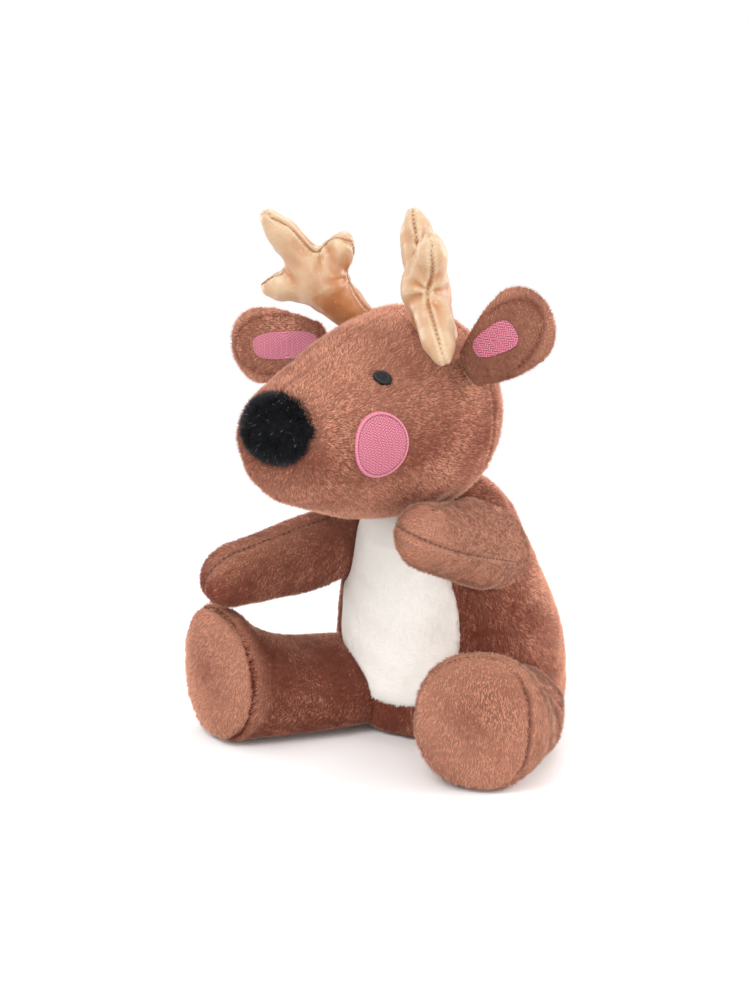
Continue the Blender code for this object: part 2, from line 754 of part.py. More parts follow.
def build():
    clear_scene()
    skins = {name: make_material(name) for name in materials}
    brown = skins["brown_plush"]
    filling = skins["fibre_filling"]
    deer = joint_empty("deer", None, Matrix.Identity(4))
    reach = body_width + leg_length + arm_length
    half_seam = seam_gap / 2
    inset = plush_thickness + filling_gap

    neck = joint_empty(
        "neck_joint",
        deer,
        Matrix.Translation((0, -neck_forward, neck_base_height))
        @ Matrix.Rotation(math.radians(head_turn), 4, "Z"),
    )
    sides = {"left": 1.0, "right": -1.0}
    body_half = {
        "left": cutter("keep_left", slab("keep_left", 0, half_seam, reach, reach), deer),
        "right": cutter("keep_right", slab("keep_right", 0, -reach, -half_seam, reach), deer),
    }
    floor = cutter("floor", box_mesh("floor", (-reach, -reach, -cut_overrun), (reach, reach, 0)), deer)

    body_cutters = []
    body = body_form(body_facets)
    leg_turns = {"left": left_leg_turn, "right": -right_leg_turn}

    for side, sign in sides.items():
        hip = joint_empty(
            f"hip_joint_{side}",
            deer,
            Matrix.Translation((hip_side * sign, -hip_forward, hip_height)) @ facing(leg_turns[side], 0.0),
        )
        leg = leg_form(leg_facets)
        pocket_reach = leg_length * leg_pocket_share
        body_cutters.append(
            pocket_cutters(f"leg_{side}_space", leg, hip, "Z", -leg_swing, leg_swing, pocket_reach)
        )
        sole_from = leg_length + half_seam
        sole_keep = cutter(f"sole_{side}_keep", slab("sole_keep", 0, sole_from, reach, reach), hip)
        cover_to = leg_length - half_seam
        cover_keep = cutter(f"leg_{side}_keep", slab("cover_keep", 0, -reach, cover_to, reach), hip)
        piece(f"leg_{side}_cover", leg, brown, hip, keeps=(cover_keep,), cuts=(floor,), skin=plush_thickness)
        piece(f"leg_{side}_sole", leg, brown, hip, keeps=(sole_keep,), cuts=(floor,), skin=plush_thickness)
        piece(f"leg_{side}_filling", grown(leg_form(leg_facets // 2), -inset), filling, hip)

    arm_poses = {
        "left": (left_arm_turn, left_arm_lift, left_arm_roll, arm_swing_low, 0.0),
        "right": (-right_arm_turn, right_arm_lift, right_arm_roll, 0.0, arm_swing_high),
    }
    for side, (turn, lift, roll, low, high) in arm_poses.items():
        sign = sides[side]
        shoulder = joint_empty(
            f"shoulder_joint_{side}",
            deer,
            Matrix.Translation((shoulder_side * sign, -shoulder_forward, shoulder_height))
            @ facing(turn, lift),
        )
        arm = arm_form(roll, arm_facets)
        pocket_reach = arm_length * arm_pocket_share
        body_cutters.append(
            pocket_cutters(f"arm_{side}_space", arm, shoulder, "Y", -high, -low, pocket_reach)
        )
        lean = Matrix.Rotation(math.radians(roll), 4, "X")
        halves = {
            "outer": slab("arm_outer", 1, half_seam * sign, reach * sign, reach),
            "inner": slab("arm_inner", 1, -reach * sign, -half_seam * sign, reach),
        }
        for half, mesh in halves.items():
            keep = cutter(f"arm_{side}_{half}_keep", mesh, shoulder, lean)
            piece(f"arm_{side}_{half}", arm, brown, shoulder, keeps=(keep,), skin=plush_thickness)
        piece(f"arm_{side}_filling", grown(arm_form(roll, arm_facets // 2), -inset), filling, shoulder)

    cloth_pockets = [pocket["cloth"] for pocket in body_cutters]
    deep_pockets = [pocket["stuffing"] for pocket in body_cutters]
    front = (-reach, -neck_forward / 2)
    tummy_keep = cutter("tummy_keep", prism_mesh("tummy_keep", tummy_outline(-half_seam), *front), deer)
    tummy_cut = cutter("tummy_cut", prism_mesh("tummy_cut", tummy_outline(half_seam), *front), deer)
    for side in sides:
        piece(
            f"torso_panel_{side}",
            body,
            brown,
            deer,
            keeps=(body_half[side],),
            cuts=(tummy_cut, *cloth_pockets),
            skin=plush_thickness,
        )
    piece(
        "tummy_panel",
        body,
        skins["cream_plush"],
        deer,
        keeps=(tummy_keep,),
        cuts=cloth_pockets,
        skin=plush_thickness,
    )
    piece("torso_filling", grown(body_form(body_facets // 2), -inset), filling, deer, cuts=deep_pockets)

    build_head(neck, skins, reach)
    return deer


def build_head(neck, skins, reach):
    brown = skins["brown_plush"]
    filling = skins["fibre_filling"]
    half_seam = seam_gap / 2
    inset = plush_thickness + filling_gap
    sides = {"left": 1.0, "right": -1.0}
    head = head_form(head_facets)
    level = -neck_base_height
    hollow = neck_cutter(neck)
    head_cutters = {"left": [], "right": []}

    ear_lifts = {"left": left_ear_lift, "right": right_ear_lift}
    for side, sign in sides.items():
        place = Matrix.Translation((ear_side * sign, -ear_forward, level + ear_base_height))
        upright = Matrix.Rotation(math.radians(90.0 - 90.0 * sign), 4, "Z")
        lift = Matrix.Rotation(math.radians(-ear_lifts[side]), 4, "Y")
        hinge = joint_empty(f"ear_joint_{side}", neck, place @ upright @ lift)
        ear = ear_form(ear_facets)
        pocket_reach = ear_length * ear_pocket_share
        head_cutters[side].append(
            pocket_cutters(f"ear_{side}_space", ear, hinge, "Z", -ear_swing, ear_swing, pocket_reach)
        )
        halves = {
            "front": slab("ear_front", 1, -reach * sign, -half_seam * sign, reach),
            "back": slab("ear_back", 1, half_seam * sign, reach * sign, reach),
        }
        for half, mesh in halves.items():
            keep = cutter(f"ear_{side}_{half}_keep", mesh, hinge)
            piece(f"ear_{side}_{half}", ear, brown, hinge, keeps=(keep,), skin=plush_thickness)
        piece(f"ear_{side}_filling", grown(ear_form(ear_facets // 2), -inset), filling, hinge)
        outline = ellipse_outline(ear_lining_length, ear_lining_width)
        centre = ear_lining_length / 2 + ear_thickness / 2
        shifted = [(x + centre, z) for x, z in outline]
        keep = cutter(
            f"ear_{side}_lining_keep",
            prism_mesh("lining_keep", shifted, 0.0, -ear_thickness * sign),
            hinge,
        )
        outside = grown(ear, seam_gap + embroidery_thickness)
        thread = skins["pink_thread"]
        piece(f"ear_{side}_lining", outside, thread, hinge, keeps=(keep,), skin=embroidery_thickness)

    antler_poses = {
        "left": (left_antler_shares, left_antler_turn, left_antler_lean),
        "right": (right_antler_shares, right_antler_turn, right_antler_lean),
    }
    for side, (shares, turn, lean) in antler_poses.items():
        sign = sides[side]
        place = Matrix.Translation((antler_side * sign, -antler_forward, level + antler_base_height))
        tilt = Matrix.Rotation(math.radians(lean) * sign, 4, "X")
        hinge = joint_empty(f"antler_joint_{side}", neck, place @ facing(turn, 0.0) @ tilt)
        outer = antler_mesh(f"antler_{side}_outer", shares, 0.0, hinge, tine_facets)
        inner = antler_mesh(f"antler_{side}_inner", shares, leatherette_thickness, hinge, tine_facets)
        drawn_in = leatherette_thickness + filling_gap
        stuffing = antler_mesh(f"antler_{side}_stuffing", shares, drawn_in, hinge, tine_facets // 2)
        hollow_tool = cutter(f"antler_{side}_hollow", inner, hinge)
        root = antler_root_form(shares)
        swing = ("X", -antler_swing, antler_swing, antler_span)
        head_cutters[side].append(pocket_cutters(f"antler_{side}_space", root, hinge, *swing))
        halves = {
            "front": slab("antler_front", 1, -reach, -half_seam, reach),
            "back": slab("antler_back", 1, half_seam, reach, reach),
        }
        for half, mesh in halves.items():
            keep = cutter(f"antler_{side}_{half}_keep", mesh, hinge)
            hide = skins["tan_leatherette"]
            piece(f"antler_{side}_{half}", outer, hide, hinge, keeps=(keep,), cuts=(hollow_tool,))
        piece(f"antler_{side}_filling", stuffing, filling, hinge)

    nose_place = Matrix.Translation((0, -head_centre_forward - muzzle_length, level + nose_centre_height))
    nose_axis = nose_place @ Matrix.Rotation(math.radians(-nose_tilt), 4, "X")
    nose_room = ellipse_outline(nose_width + seam_gap, nose_height + seam_gap)
    nose_keep = cutter("nose_keep", nose_plug(), neck, nose_axis)
    nose_prism = prism_mesh("nose_cut", nose_room, cut_overrun, -nose_width)
    nose_cut = cutter("nose_cut", nose_prism, neck, nose_axis)

    seam_back = -head_back_seam_forward
    keep_front = slab("head_front", 1, -reach, seam_back - half_seam, reach)
    keep_back = slab("head_back", 1, seam_back + half_seam, reach, reach)
    front_keep = cutter("head_front_keep", keep_front, neck)
    back_keep = cutter("head_back_keep", keep_back, neck)
    for side, sign in sides.items():
        low, high = sorted((half_seam * sign, reach * sign))
        half = cutter(f"head_{side}_keep", slab("head_half", 0, low, high, reach), neck)
        piece(
            f"head_panel_{side}",
            head,
            brown,
            neck,
            keeps=(front_keep, half),
            cuts=(hollow, nose_cut, *(pocket["cloth"] for pocket in head_cutters[side])),
            skin=plush_thickness,
        )
    both = head_cutters["left"] + head_cutters["right"]
    back_cuts = [hollow, *(pocket["cloth"] for pocket in both)]
    deep_cuts = [hollow, *(pocket["stuffing"] for pocket in both)]
    piece("head_back_panel", head, brown, neck, keeps=(back_keep,), cuts=back_cuts, skin=plush_thickness)
    nose_depth = nose_rise + plush_thickness
    black = skins["black_plush"]
    piece("nose_panel", grown(head, nose_rise), black, neck, keeps=(nose_keep,), skin=nose_depth)
    piece("head_filling", grown(head_form(head_facets // 2), -inset), filling, neck, cuts=deep_cuts)

    thread = {"eye": skins["black_thread"], "cheek": skins["pink_thread"]}
    outside = grown(head, seam_gap + embroidery_thickness)
    patches = {
        "eye": (
            (eye_side, eye_forward, eye_centre_height),
            (eye_turn, eye_lift),
            (eye_width, eye_height),
        ),
        "cheek": (
            (cheek_side, cheek_forward, cheek_centre_height),
            (cheek_turn, cheek_lift),
            (cheek_width, cheek_height),
        ),
    }
    for patch, ((aside, forward, height), (turn, lift), size) in patches.items():
        for side, sign in sides.items():
            place = Matrix.Translation((aside * sign, -forward, level + height))
            aim = Matrix.Rotation(math.radians(turn) * sign, 4, "Z")
            aim = aim @ Matrix.Rotation(math.radians(-lift), 4, "X")
            mesh = prism_mesh(f"{patch}_keep", ellipse_outline(*size), cut_overrun, -cut_overrun)
            keep = cutter(f"{patch}_{side}_keep", mesh, neck, place @ aim)
            piece(f"{patch}_{side}", outside, thread[patch], neck, keeps=(keep,), skin=embroidery_thickness)


def centre_on_floor(deer):
    """Moves the whole deer so that the middle of its box is over the origin."""
    bpy.context.view_layer.update()
    graph = bpy.context.evaluated_depsgraph_get()
    corners = []
    for thing in bpy.data.objects:
        if thing.type == "MESH" and not thing.hide_render:
            evaluated = thing.evaluated_get(graph)
            corners.extend(evaluated.matrix_world @ Vector(corner) for corner in evaluated.bound_box)
    points = np.array(corners)
    middle = (points.min(axis=0) + points.max(axis=0)) / 2
    deer.location = (-middle[0], -middle[1], 0)
    bpy.context.view_layer.update()
    for thing in bpy.data.objects:
        if thing.type == "EMPTY":
            place = thing.matrix_world.translation
            print(thing.name, [round(value, 5) for value in place])


centre_on_floor(build())
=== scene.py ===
"""Seated plush deer: short brown pile, a cream tummy, a fluffy black nose, embroidered eyes and cheeks, and
stuffed leatherette antlers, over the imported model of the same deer."""

import json
import math

import bmesh
import bpy
import numpy as np
from mathutils import Matrix

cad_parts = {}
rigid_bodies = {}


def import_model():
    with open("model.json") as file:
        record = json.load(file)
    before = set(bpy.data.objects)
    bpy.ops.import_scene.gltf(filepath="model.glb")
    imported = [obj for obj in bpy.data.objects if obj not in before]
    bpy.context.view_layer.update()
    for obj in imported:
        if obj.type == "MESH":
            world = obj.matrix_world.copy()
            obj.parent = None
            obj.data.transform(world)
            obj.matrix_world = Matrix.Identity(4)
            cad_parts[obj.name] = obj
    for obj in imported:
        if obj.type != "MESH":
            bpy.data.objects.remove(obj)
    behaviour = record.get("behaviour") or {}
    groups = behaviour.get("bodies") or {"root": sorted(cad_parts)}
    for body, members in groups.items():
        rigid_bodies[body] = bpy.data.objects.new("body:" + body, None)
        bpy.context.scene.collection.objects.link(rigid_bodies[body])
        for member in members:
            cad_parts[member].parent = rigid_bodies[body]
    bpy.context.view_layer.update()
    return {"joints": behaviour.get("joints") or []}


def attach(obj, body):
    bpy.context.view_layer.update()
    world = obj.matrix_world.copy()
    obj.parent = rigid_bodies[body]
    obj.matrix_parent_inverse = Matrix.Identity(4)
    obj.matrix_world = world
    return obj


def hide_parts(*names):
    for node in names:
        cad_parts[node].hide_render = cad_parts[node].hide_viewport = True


bl_info = {
    "name": "Seated plush deer",
    "version": (1, 0, 0),
    "blender": (4, 5, 0),
    "location": "3D View > Sidebar > Plush deer",
    "description": "Builds the cloth, pile, embroidery and antlers of a seated plush deer",
    "category": "Object",
}

for startup_object in list(bpy.data.objects):
    bpy.data.objects.remove(startup_object, do_unlink=True)
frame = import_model()
joints = {joint["name"]: joint for joint in frame["joints"]}

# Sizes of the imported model, in metres, as its source names them
neck_base_height = 0.0900
neck_base_radius = 0.0390
body_top_height = 0.1200
neck_forward = 0.0140
body_width = 0.1080
body_depth = 0.1040
floor_flat_depth = 0.0005
tummy_left_width = 0.0285
tummy_right_width = 0.0385
tummy_top_height = 0.1060
tummy_tip_height = 0.0165
head_turn = -10.0
head_width = 0.0920
head_height = 0.0930
head_centre_forward = 0.0260
head_centre_height = 0.1505
head_back_length = 0.0440
muzzle_length = 0.0770
muzzle_cap_length = 0.0090
head_back_seam_forward = 0.0150
nose_width = 0.0380
nose_height = 0.0310
nose_centre_height = 0.1550
nose_tilt = 22.0
nose_reach = 0.0150
eye_size = (0.0084, 0.0066)
eye_place = (0.0245, 0.0680, 0.1745)
eye_aim = (52.0, 40.0)
cheek_size = (0.0270, 0.0285)
cheek_place = (0.0340, 0.0800, 0.1490)
cheek_aim = (74.0, 3.0)
ear_length = 0.0525
ear_width = 0.0360
ear_thickness = 0.0100
ear_root_width = 0.0200
ear_place = (0.0435, 0.0310, 0.1755)
ear_lifts = {"left": 39.0, "right": -10.0}
ear_lining_width = 0.0125
antler_place = (0.0255, 0.0295, 0.1915)
antler_root_radius = 0.0085
antler_palm_radius = 0.0112
tine_base_radius = 0.0078
tine_tip_radius = 0.0057
antler_span = 0.0500
arm_length = 0.0770
arm_height = 0.0355
arm_thickness = 0.0270
arm_root_radius = 0.0150
arm_settings = {"left": (-2.0, 22.5, 40.0), "right": (-26.0, -6.5, -30.0)}
shoulder_place = (0.0375, 0.0300, 0.0838)
hip_place = (0.0420, 0.0360, 0.0195)
leg_turns = {"left": 22.0, "right": -29.5}
leg_root_radius = 0.0315
leg_root_height = 0.0380
leg_length = 0.0600
foot_width = 0.0580
foot_height = 0.0635
sole_width = 0.0525
sole_height = 0.0605
sole_dome_length = 0.0085
leg_roundness = 0.92
leg_under_roundness = 0.52
leg_settled_share = 0.50
body_ring_shares = (
    (0.000, 0.860, 0.00),
    (0.045, 0.952, 0.00),
    (0.130, 0.990, 0.00),
    (0.260, 1.000, 0.02),
    (0.420, 0.978, 0.10),
    (0.580, 0.926, 0.26),
    (0.740, 0.860, 0.54),
    (0.880, 0.795, 0.82),
    (1.000, 0.722, 1.00),
)
neck_dome_shares = ((0.00, 1.000), (0.26, 0.930), (0.52, 0.800), (0.78, 0.580), (1.00, 0.000))
tummy_outline_shares = (
    (0.000, 0.00),
    (0.008, 0.24),
    (0.030, 0.45),
    (0.080, 0.68),
    (0.150, 0.85),
    (0.230, 0.95),
    (0.350, 1.00),
    (0.500, 0.98),
    (0.680, 0.88),
    (0.850, 0.76),
    (1.000, 0.64),
)
muzzle_shares = (
    (0.00, 1.000, 1.000, 0.000),
    (0.20, 0.968, 0.962, 0.030),
    (0.40, 0.905, 0.888, 0.050),
    (0.60, 0.818, 0.786, 0.064),
    (0.80, 0.715, 0.665, 0.066),
    (0.93, 0.640, 0.590, 0.060),
    (1.00, 0.585, 0.540, 0.052),
)
arm_shares = ((0.00, 0.938, 0.938), (0.22, 1.000, 1.000), (0.52, 0.920, 0.930), (0.80, 0.800, 0.880))
leg_shares = (
    (0.00, 1.080, 0.600),
    (0.22, 1.070, 0.635),
    (0.50, 1.030, 0.705),
    (0.74, 1.010, 0.835),
    (0.88, 1.010, 0.960),
    (0.96, 0.980, 0.985),
)
ear_shares = ((0.00, 0.610, 0.96), (0.20, 0.760, 1.00), (0.42, 0.930, 1.00), (0.64, 1.000, 0.98))
antler_shares = {
    "right": {"palm": (0.25, 0.32), "long": (0.69, 0.86), "short": (0.07, 0.65), "low": (0.67, 0.24)},
    "left": {"palm": (0.18, 0.38), "long": (0.46, 0.89), "short": (-0.08, 0.93), "low": (0.64, -0.08)},
}
antler_aim = {"right": (-50.0, 12.0), "left": (42.0, 17.0)}
sides = {"left": 1.0, "right": -1.0}

# How the pile is laid
seed = 11
pile_piece_limit = 46000
pile_sink = 0.0004

# Sizes that only this dressing has
tongue_lengths = {"left": 0.0245, "right": 0.0395}
tongue_widens = {"left": 0.20, "right": 0.03}
tongue_slides = {"left": 0.17, "right": 0.0}
tongue_power = 0.66
ear_rim_width = 0.0042
ear_rim_starts = {"left": (0.30, 0.50), "right": (0.10, 0.30)}
tongue_ends = {"left": 0.0330, "right": 0.0370}
eye_roll = 24.0
eye_shift = {"left": (0.0, 0.0, 0.0), "right": (0.0012, 0.0, -0.0022)}
ear_extra = {"left": 0.0, "right": 0.0018}
# Painted light and shade: the tones of the arms, legs and soles, lighter on the lit ones and darker on the shaded
# ones, and the painted rim highlight along the limbs' top and bottom edges
arm_light_and_shade = {"left": 0.94, "right": 0.34}
rim_highlight_tone = 0.36
arm_rise = {"left": (0.0038, -2.6), "right": (0.0, 0.0)}
arm_swell = {"left": (1.16, 1.06), "right": (1.14, 1.12)}
shoulder_swell = {"left": (0.22, 0.0034), "right": (0.0, 0.0)}
arm_seam_roll = {"left": 34.0, "right": 0.0}
leg_light_and_shade = {"left": 0.92, "right": 0.24}
sole_light_and_shade = {"left": 0.74, "right": 0.88}
sole_mark = (0.003, 0.009)
sole_mark_width = 0.016
sole_mark_tone = 0.42
sole_edge_tone = 0.20
head_sweep_gap = 0.0012
head_sweep_limit = 0.0080
sole_seam_shifts = {"left": (0.0065, -0.0035), "right": (-0.0040, 0.0)}
stitch_pitch = 0.0022
tine_point_radius = 0.0043
tine_rows = ((0.45, 0.0082), (0.80, 0.0073))
tine_blend = 0.0009
tine_bends = {
    "left": {
        "palm": (0.0, -0.0018, 0.0),
        "long": (0.0, 0.0062, -0.0050),
        "short": (0.0, 0.0026, 0.0),
        "low": (0.0, -0.0026, 0.0),
    },
    "right": {"palm": (0.0008, 0.0, -0.0012), "low": (0.0006, 0.0, -0.0004)},
}
tine_swell = {"left": 1.0, "right": 0.97}
palm_swell = {"left": 0.97, "right": 1.10}
seam_tilts = {"left": (0.0, 0.0, 0.0), "right": (0.0040, -0.55, 0.83)}
fold_depths = {"left": 0.0016, "right": 0.0009}
root_bends = {"left": (0.0, -0.0024, 0.0), "right": (0.0, 0.0, 0.0)}


# ---------------------------------------------------------------- numbers and arrays


def smooth_column(knots, values, at):
    """A monotone cubic through the knots: each span is the Hermite cubic whose end slopes are the harmonic
    means of the neighbouring slopes, or level where the slope changes sign."""
    steps = np.diff(knots)
    slopes = np.diff(values) / steps
    tangents = np.zeros(len(knots))
    inner = slopes[:-1] * slopes[1:] > 0
    weight_a = 2 * steps[1:] + steps[:-1]
    weight_b = steps[1:] + 2 * steps[:-1]
    with np.errstate(divide="ignore", invalid="ignore"):
        mean = (weight_a + weight_b) / (weight_a / slopes[:-1] + weight_b / slopes[1:])
    tangents[1:-1] = np.where(inner, mean, 0.0)
    tangents[0] = slopes[0]
    tangents[-1] = slopes[-1]
    piece = np.clip(np.searchsorted(knots, at, side="right") - 1, 0, len(steps) - 1)
    width = steps[piece]
    t = (at - knots[piece]) / width
    return (
        values[piece] * (1 + 2 * t) * (1 - t) ** 2
        + tangents[piece] * width * t * (1 - t) ** 2
        + values[piece + 1] * t**2 * (3 - 2 * t)
        + tangents[piece + 1] * width * t**2 * (t - 1)
    )


def columns(shares, at):
    """The table's columns after its first, read as smooth columns at the given values of the first."""
    table = np.array(shares, float)
    return [smooth_column(table[:, 0], column, np.asarray(at, float)) for column in table.T[1:]]


def turned(axis, degrees):
    """The 3x3 matrix of a right-handed turn about X, Y or Z."""
    cosine, sine = math.cos(math.radians(degrees)), math.sin(math.radians(degrees))
    first, second = {"X": (1, 2), "Y": (2, 0), "Z": (0, 1)}[axis]
    matrix = np.eye(3)
    matrix[first, first] = matrix[second, second] = cosine
    matrix[first, second] = -sine
    matrix[second, first] = sine
    return matrix


def facing(turn, lift):
    """Carries +X to a horizontal direction, turned from the deer's front towards its left, then lifted."""
    return turned("Z", turn - 90.0) @ turned("Y", -lift)


def unit(vectors):
    """Each vector divided by its length."""
    return vectors / np.maximum(np.linalg.norm(vectors, axis=-1, keepdims=True), 1e-12)


def ramp(value, low, high):
    """0 below low, 1 above high, and 3t^2 - 2t^3 between them."""
    t = np.clip((value - low) / (high - low), 0.0, 1.0)
    return t * t * (3 - 2 * t)


def bump(value, width):
    """The bell exp(-(value / width)^2)."""
    return np.exp(-((value / width) ** 2))


def waves(points, length, key, count=9):
    """Smooth noise between about -1 and 1: the mean of sine waves of about one wavelength that run in seeded
    directions, scaled by the root of their number."""
    rng = np.random.default_rng(seed + key)
    directions = unit(rng.normal(size=(count, 3)))
    rates = math.tau / (length * rng.uniform(0.7, 1.5, count))
    starts = rng.uniform(0, math.tau, count)
    return np.sin(points @ (directions * rates[:, None]).T + starts).sum(axis=-1) / math.sqrt(count)


class Place:
    """A frame of the model: points go to the world by the turn, then the shift."""

    def __init__(self, turn, shift):
        self.turn = np.asarray(turn, float)
        self.shift = np.asarray(shift, float)

    def out(self, points):
        return points @ self.turn.T + self.shift

    def back(self, points):
        return (points - self.shift) @ self.turn

    def inside(self, turn, shift):
        return Place(self.turn @ turn, self.turn @ np.asarray(shift, float) + self.shift)


neck_spot = np.array(joints["neck_turn"]["pos_m"])
body_place = Place(np.eye(3), neck_spot - np.array([0.0, -neck_forward, neck_base_height]))
head_place = body_place.inside(turned("Z", head_turn), (0.0, -neck_forward, neck_base_height))


def beside(place, sign):
    """(side, forward, height) as a point of the body's frame."""
    return (place[0] * sign, -place[1], place[2])


def on_head(place, sign):
    """(side, forward, height above the floor) as a point of the head's frame."""
    return (place[0] * sign, -place[1], place[2] - neck_base_height)


class Form:
    """A closed, swelling form round a line. At each station along it the outline is the curve
    centre + across * a * cos^p + upward * b * sin^p, where p may differ above and below."""

    def __init__(self, place, axes, stations, half_widths, half_heights, shift=0.0, power=1.0, under=None):
        self.place = place
        self.axis, self.across, self.upward = (np.asarray(axis, float) for axis in axes)
        self.t = np.asarray(stations, float)
        self.a = np.asarray(half_widths, float)
        self.b = np.asarray(half_heights, float)
        self.c = np.broadcast_to(shift, self.t.shape).astype(float)
        self.p = np.broadcast_to(power, self.t.shape).astype(float)
        self.q = self.p if under is None else np.broadcast_to(under, self.t.shape).astype(float)

    def grid(self, rows, turns):
        """Stations spread evenly along the profile's length, then whole turns round it. Returns the points
        in the form's own frame, the stations and the turns, with the first column repeated at the end."""
        reach = (self.a + self.b) / 2
        run = np.concatenate([[0], np.cumsum(np.hypot(np.diff(self.t), np.diff(reach)))])
        at = np.interp(np.linspace(0, run[-1], rows), run, np.arange(len(self.t)))
        t, a, b, c, p, q = (
            np.interp(at, np.arange(len(self.t)), each) for each in (self.t, self.a, self.b, self.c, self.p, self.q)
        )
        turn = np.linspace(0, math.tau, turns + 1)
        return self.points(t[:, None], turn[None, :], a[:, None], b[:, None], c[:, None], p[:, None], q[:, None])

    def points(self, t, turn, a, b, c, p, q):
        power = np.where(np.sin(turn) < 0, q, p)
        cosine = np.sign(np.cos(turn)) * np.abs(np.cos(turn)) ** power
        sine = np.sign(np.sin(turn)) * np.abs(np.sin(turn)) ** power
        t = np.broadcast_to(t, cosine.shape)
        local = (
            t[..., None] * self.axis
            + (a * cosine)[..., None] * self.across
            + (c + b * sine)[..., None] * self.upward
        )
        return local, t, np.broadcast_to(turn, cosine.shape)

    def depth(self, world):
        """How deep world points lie inside the form: (1 - share of the outline) * the smaller half axis."""
        local = self.place.back(world)
        t = local @ self.axis
        a, b, c, p, q = (np.interp(t, self.t, each) for each in (self.a, self.b, self.c, self.p, self.q))
        x = local @ self.across
        z = local @ self.upward - c
        power = np.where(z < 0, q, p)
        a, b = np.maximum(a, 1e-6), np.maximum(b, 1e-6)
        share = (np.abs(x / a) ** (2 / power) + np.abs(z / b) ** (2 / power)) ** (power / 2)
        outside = (t < self.t[0]) | (t > self.t[-1])
        return np.where(outside, -1.0, (1 - share) * np.minimum(a, b))


quarter = np.sin(np.linspace(0, math.pi / 2, 24))


def capped(root, stations, half_widths, half_heights, cap_length, extras):
    """A limb's rows: a quarter-ellipse root of the given depth, the stations, and a quarter-ellipse cap.
    extras are further columns, which keep their end values over the caps."""
    level = np.sqrt(np.maximum(1 - quarter[::-1] ** 2, 0.0))
    t = np.concatenate([-root * quarter[::-1], stations[1:], stations[-1] + cap_length * quarter[1:]])
    rows = [t]
    for column in (half_widths, half_heights):
        rows.append(np.concatenate([column[0] * level, column[1:], column[-1] * level[::-1][1:]]))
    for column in extras:
        before = np.full(len(quarter), column[0])
        after = np.full(len(quarter) - 1, column[-1])
        rows.append(np.concatenate([before, column[1:], after]))
    return rows


def body_form():
    """Rings from the floor to the neck's base, then the neck's dome."""
    share = np.linspace(0, 1, 70) ** 1.25
    radius, forward = columns(body_ring_shares, share)
    middle = body_ring_shares[4][0]
    blend = np.maximum(0, (share - middle) / (1 - middle))
    neck_share = body_ring_shares[-1][1]
    a = body_width / 2 * radius + (neck_base_radius - body_width / 2 * neck_share) * blend
    b = body_depth / 2 * radius + (neck_base_radius - body_depth / 2 * neck_share) * blend
    dome = np.linspace(0, 1, 16)[1:]
    dome_radius = columns(neck_dome_shares, dome)[0] * neck_base_radius
    dome_height = body_top_height - neck_base_height
    z = np.concatenate([[-1e-6], neck_base_height * share, neck_base_height + dome_height * dome])
    a = np.concatenate([[0], a, dome_radius])
    b = np.concatenate([[0], b, dome_radius])
    centre = np.concatenate([[0], -neck_forward * forward, np.full(len(dome), -neck_forward)])
    return Form(body_place, ((0, 0, 1), (1, 0, 0), (0, 1, 0)), z, a, b, centre)


def head_form():
    """A quarter-ellipse back, the muzzle's rings and a quarter-ellipse front. Its line runs forward."""
    share = np.linspace(0, 1, 60)
    width, height, drop = columns(muzzle_shares, share)
    half_width, half_height = head_width / 2, head_height / 2
    level = np.sqrt(np.maximum(1 - quarter[::-1] ** 2, 0.0))
    t = np.concatenate(
        [
            -head_back_length * quarter[::-1],
            muzzle_length * share[1:],
            muzzle_length + muzzle_cap_length * quarter[1:],
        ]
    )
    a = half_width * np.concatenate([level, width[1:], width[-1] * level[::-1][1:]])
    b = half_height * np.concatenate([level, height[1:], height[-1] * level[::-1][1:]])
    shift = np.concatenate([np.zeros(len(level)), drop[1:], np.full(len(level) - 1, drop[-1])])
    rise = head_centre_height - neck_base_height
    axes = ((0, -1, 0), (-1, 0, 0), (0, 0, 1))
    return Form(head_place, axes, t + head_centre_forward, a, b, rise - half_height * shift)


def arm_form(side):
    turn, lift, roll = arm_settings[side]
    rise, tip = arm_rise[side]
    place = body_place.inside(facing(turn, lift + tip), beside(shoulder_place, sides[side]))
    place = Place(place.turn, place.shift + np.array([0.0, 0.0, rise]))
    share = np.linspace(0, arm_shares[-1][0], 50)
    height, thickness = columns(arm_shares, share)
    full = np.minimum(share / arm_shares[1][0], 1)
    b = arm_root_radius * (1 - full) + arm_height / 2 * height * full
    a = arm_root_radius * (1 - full) + arm_thickness / 2 * thickness * full
    fuller_a, fuller_b = arm_swell[side]
    near = 1 - ramp(share, 0.10, 0.72)
    fuller, higher = shoulder_swell[side]
    a, b = a * fuller_a, b * fuller_b * (1 + fuller * near)
    t, a, b, c = capped(arm_root_radius, arm_length * share, a, b, arm_length * (1 - share[-1]), (higher * near,))
    lean = math.radians(roll)
    across = (0, math.cos(lean), math.sin(lean))
    upward = (0, -math.sin(lean), math.cos(lean))
    return Form(place, ((1, 0, 0), across, upward), t, a, b, c)


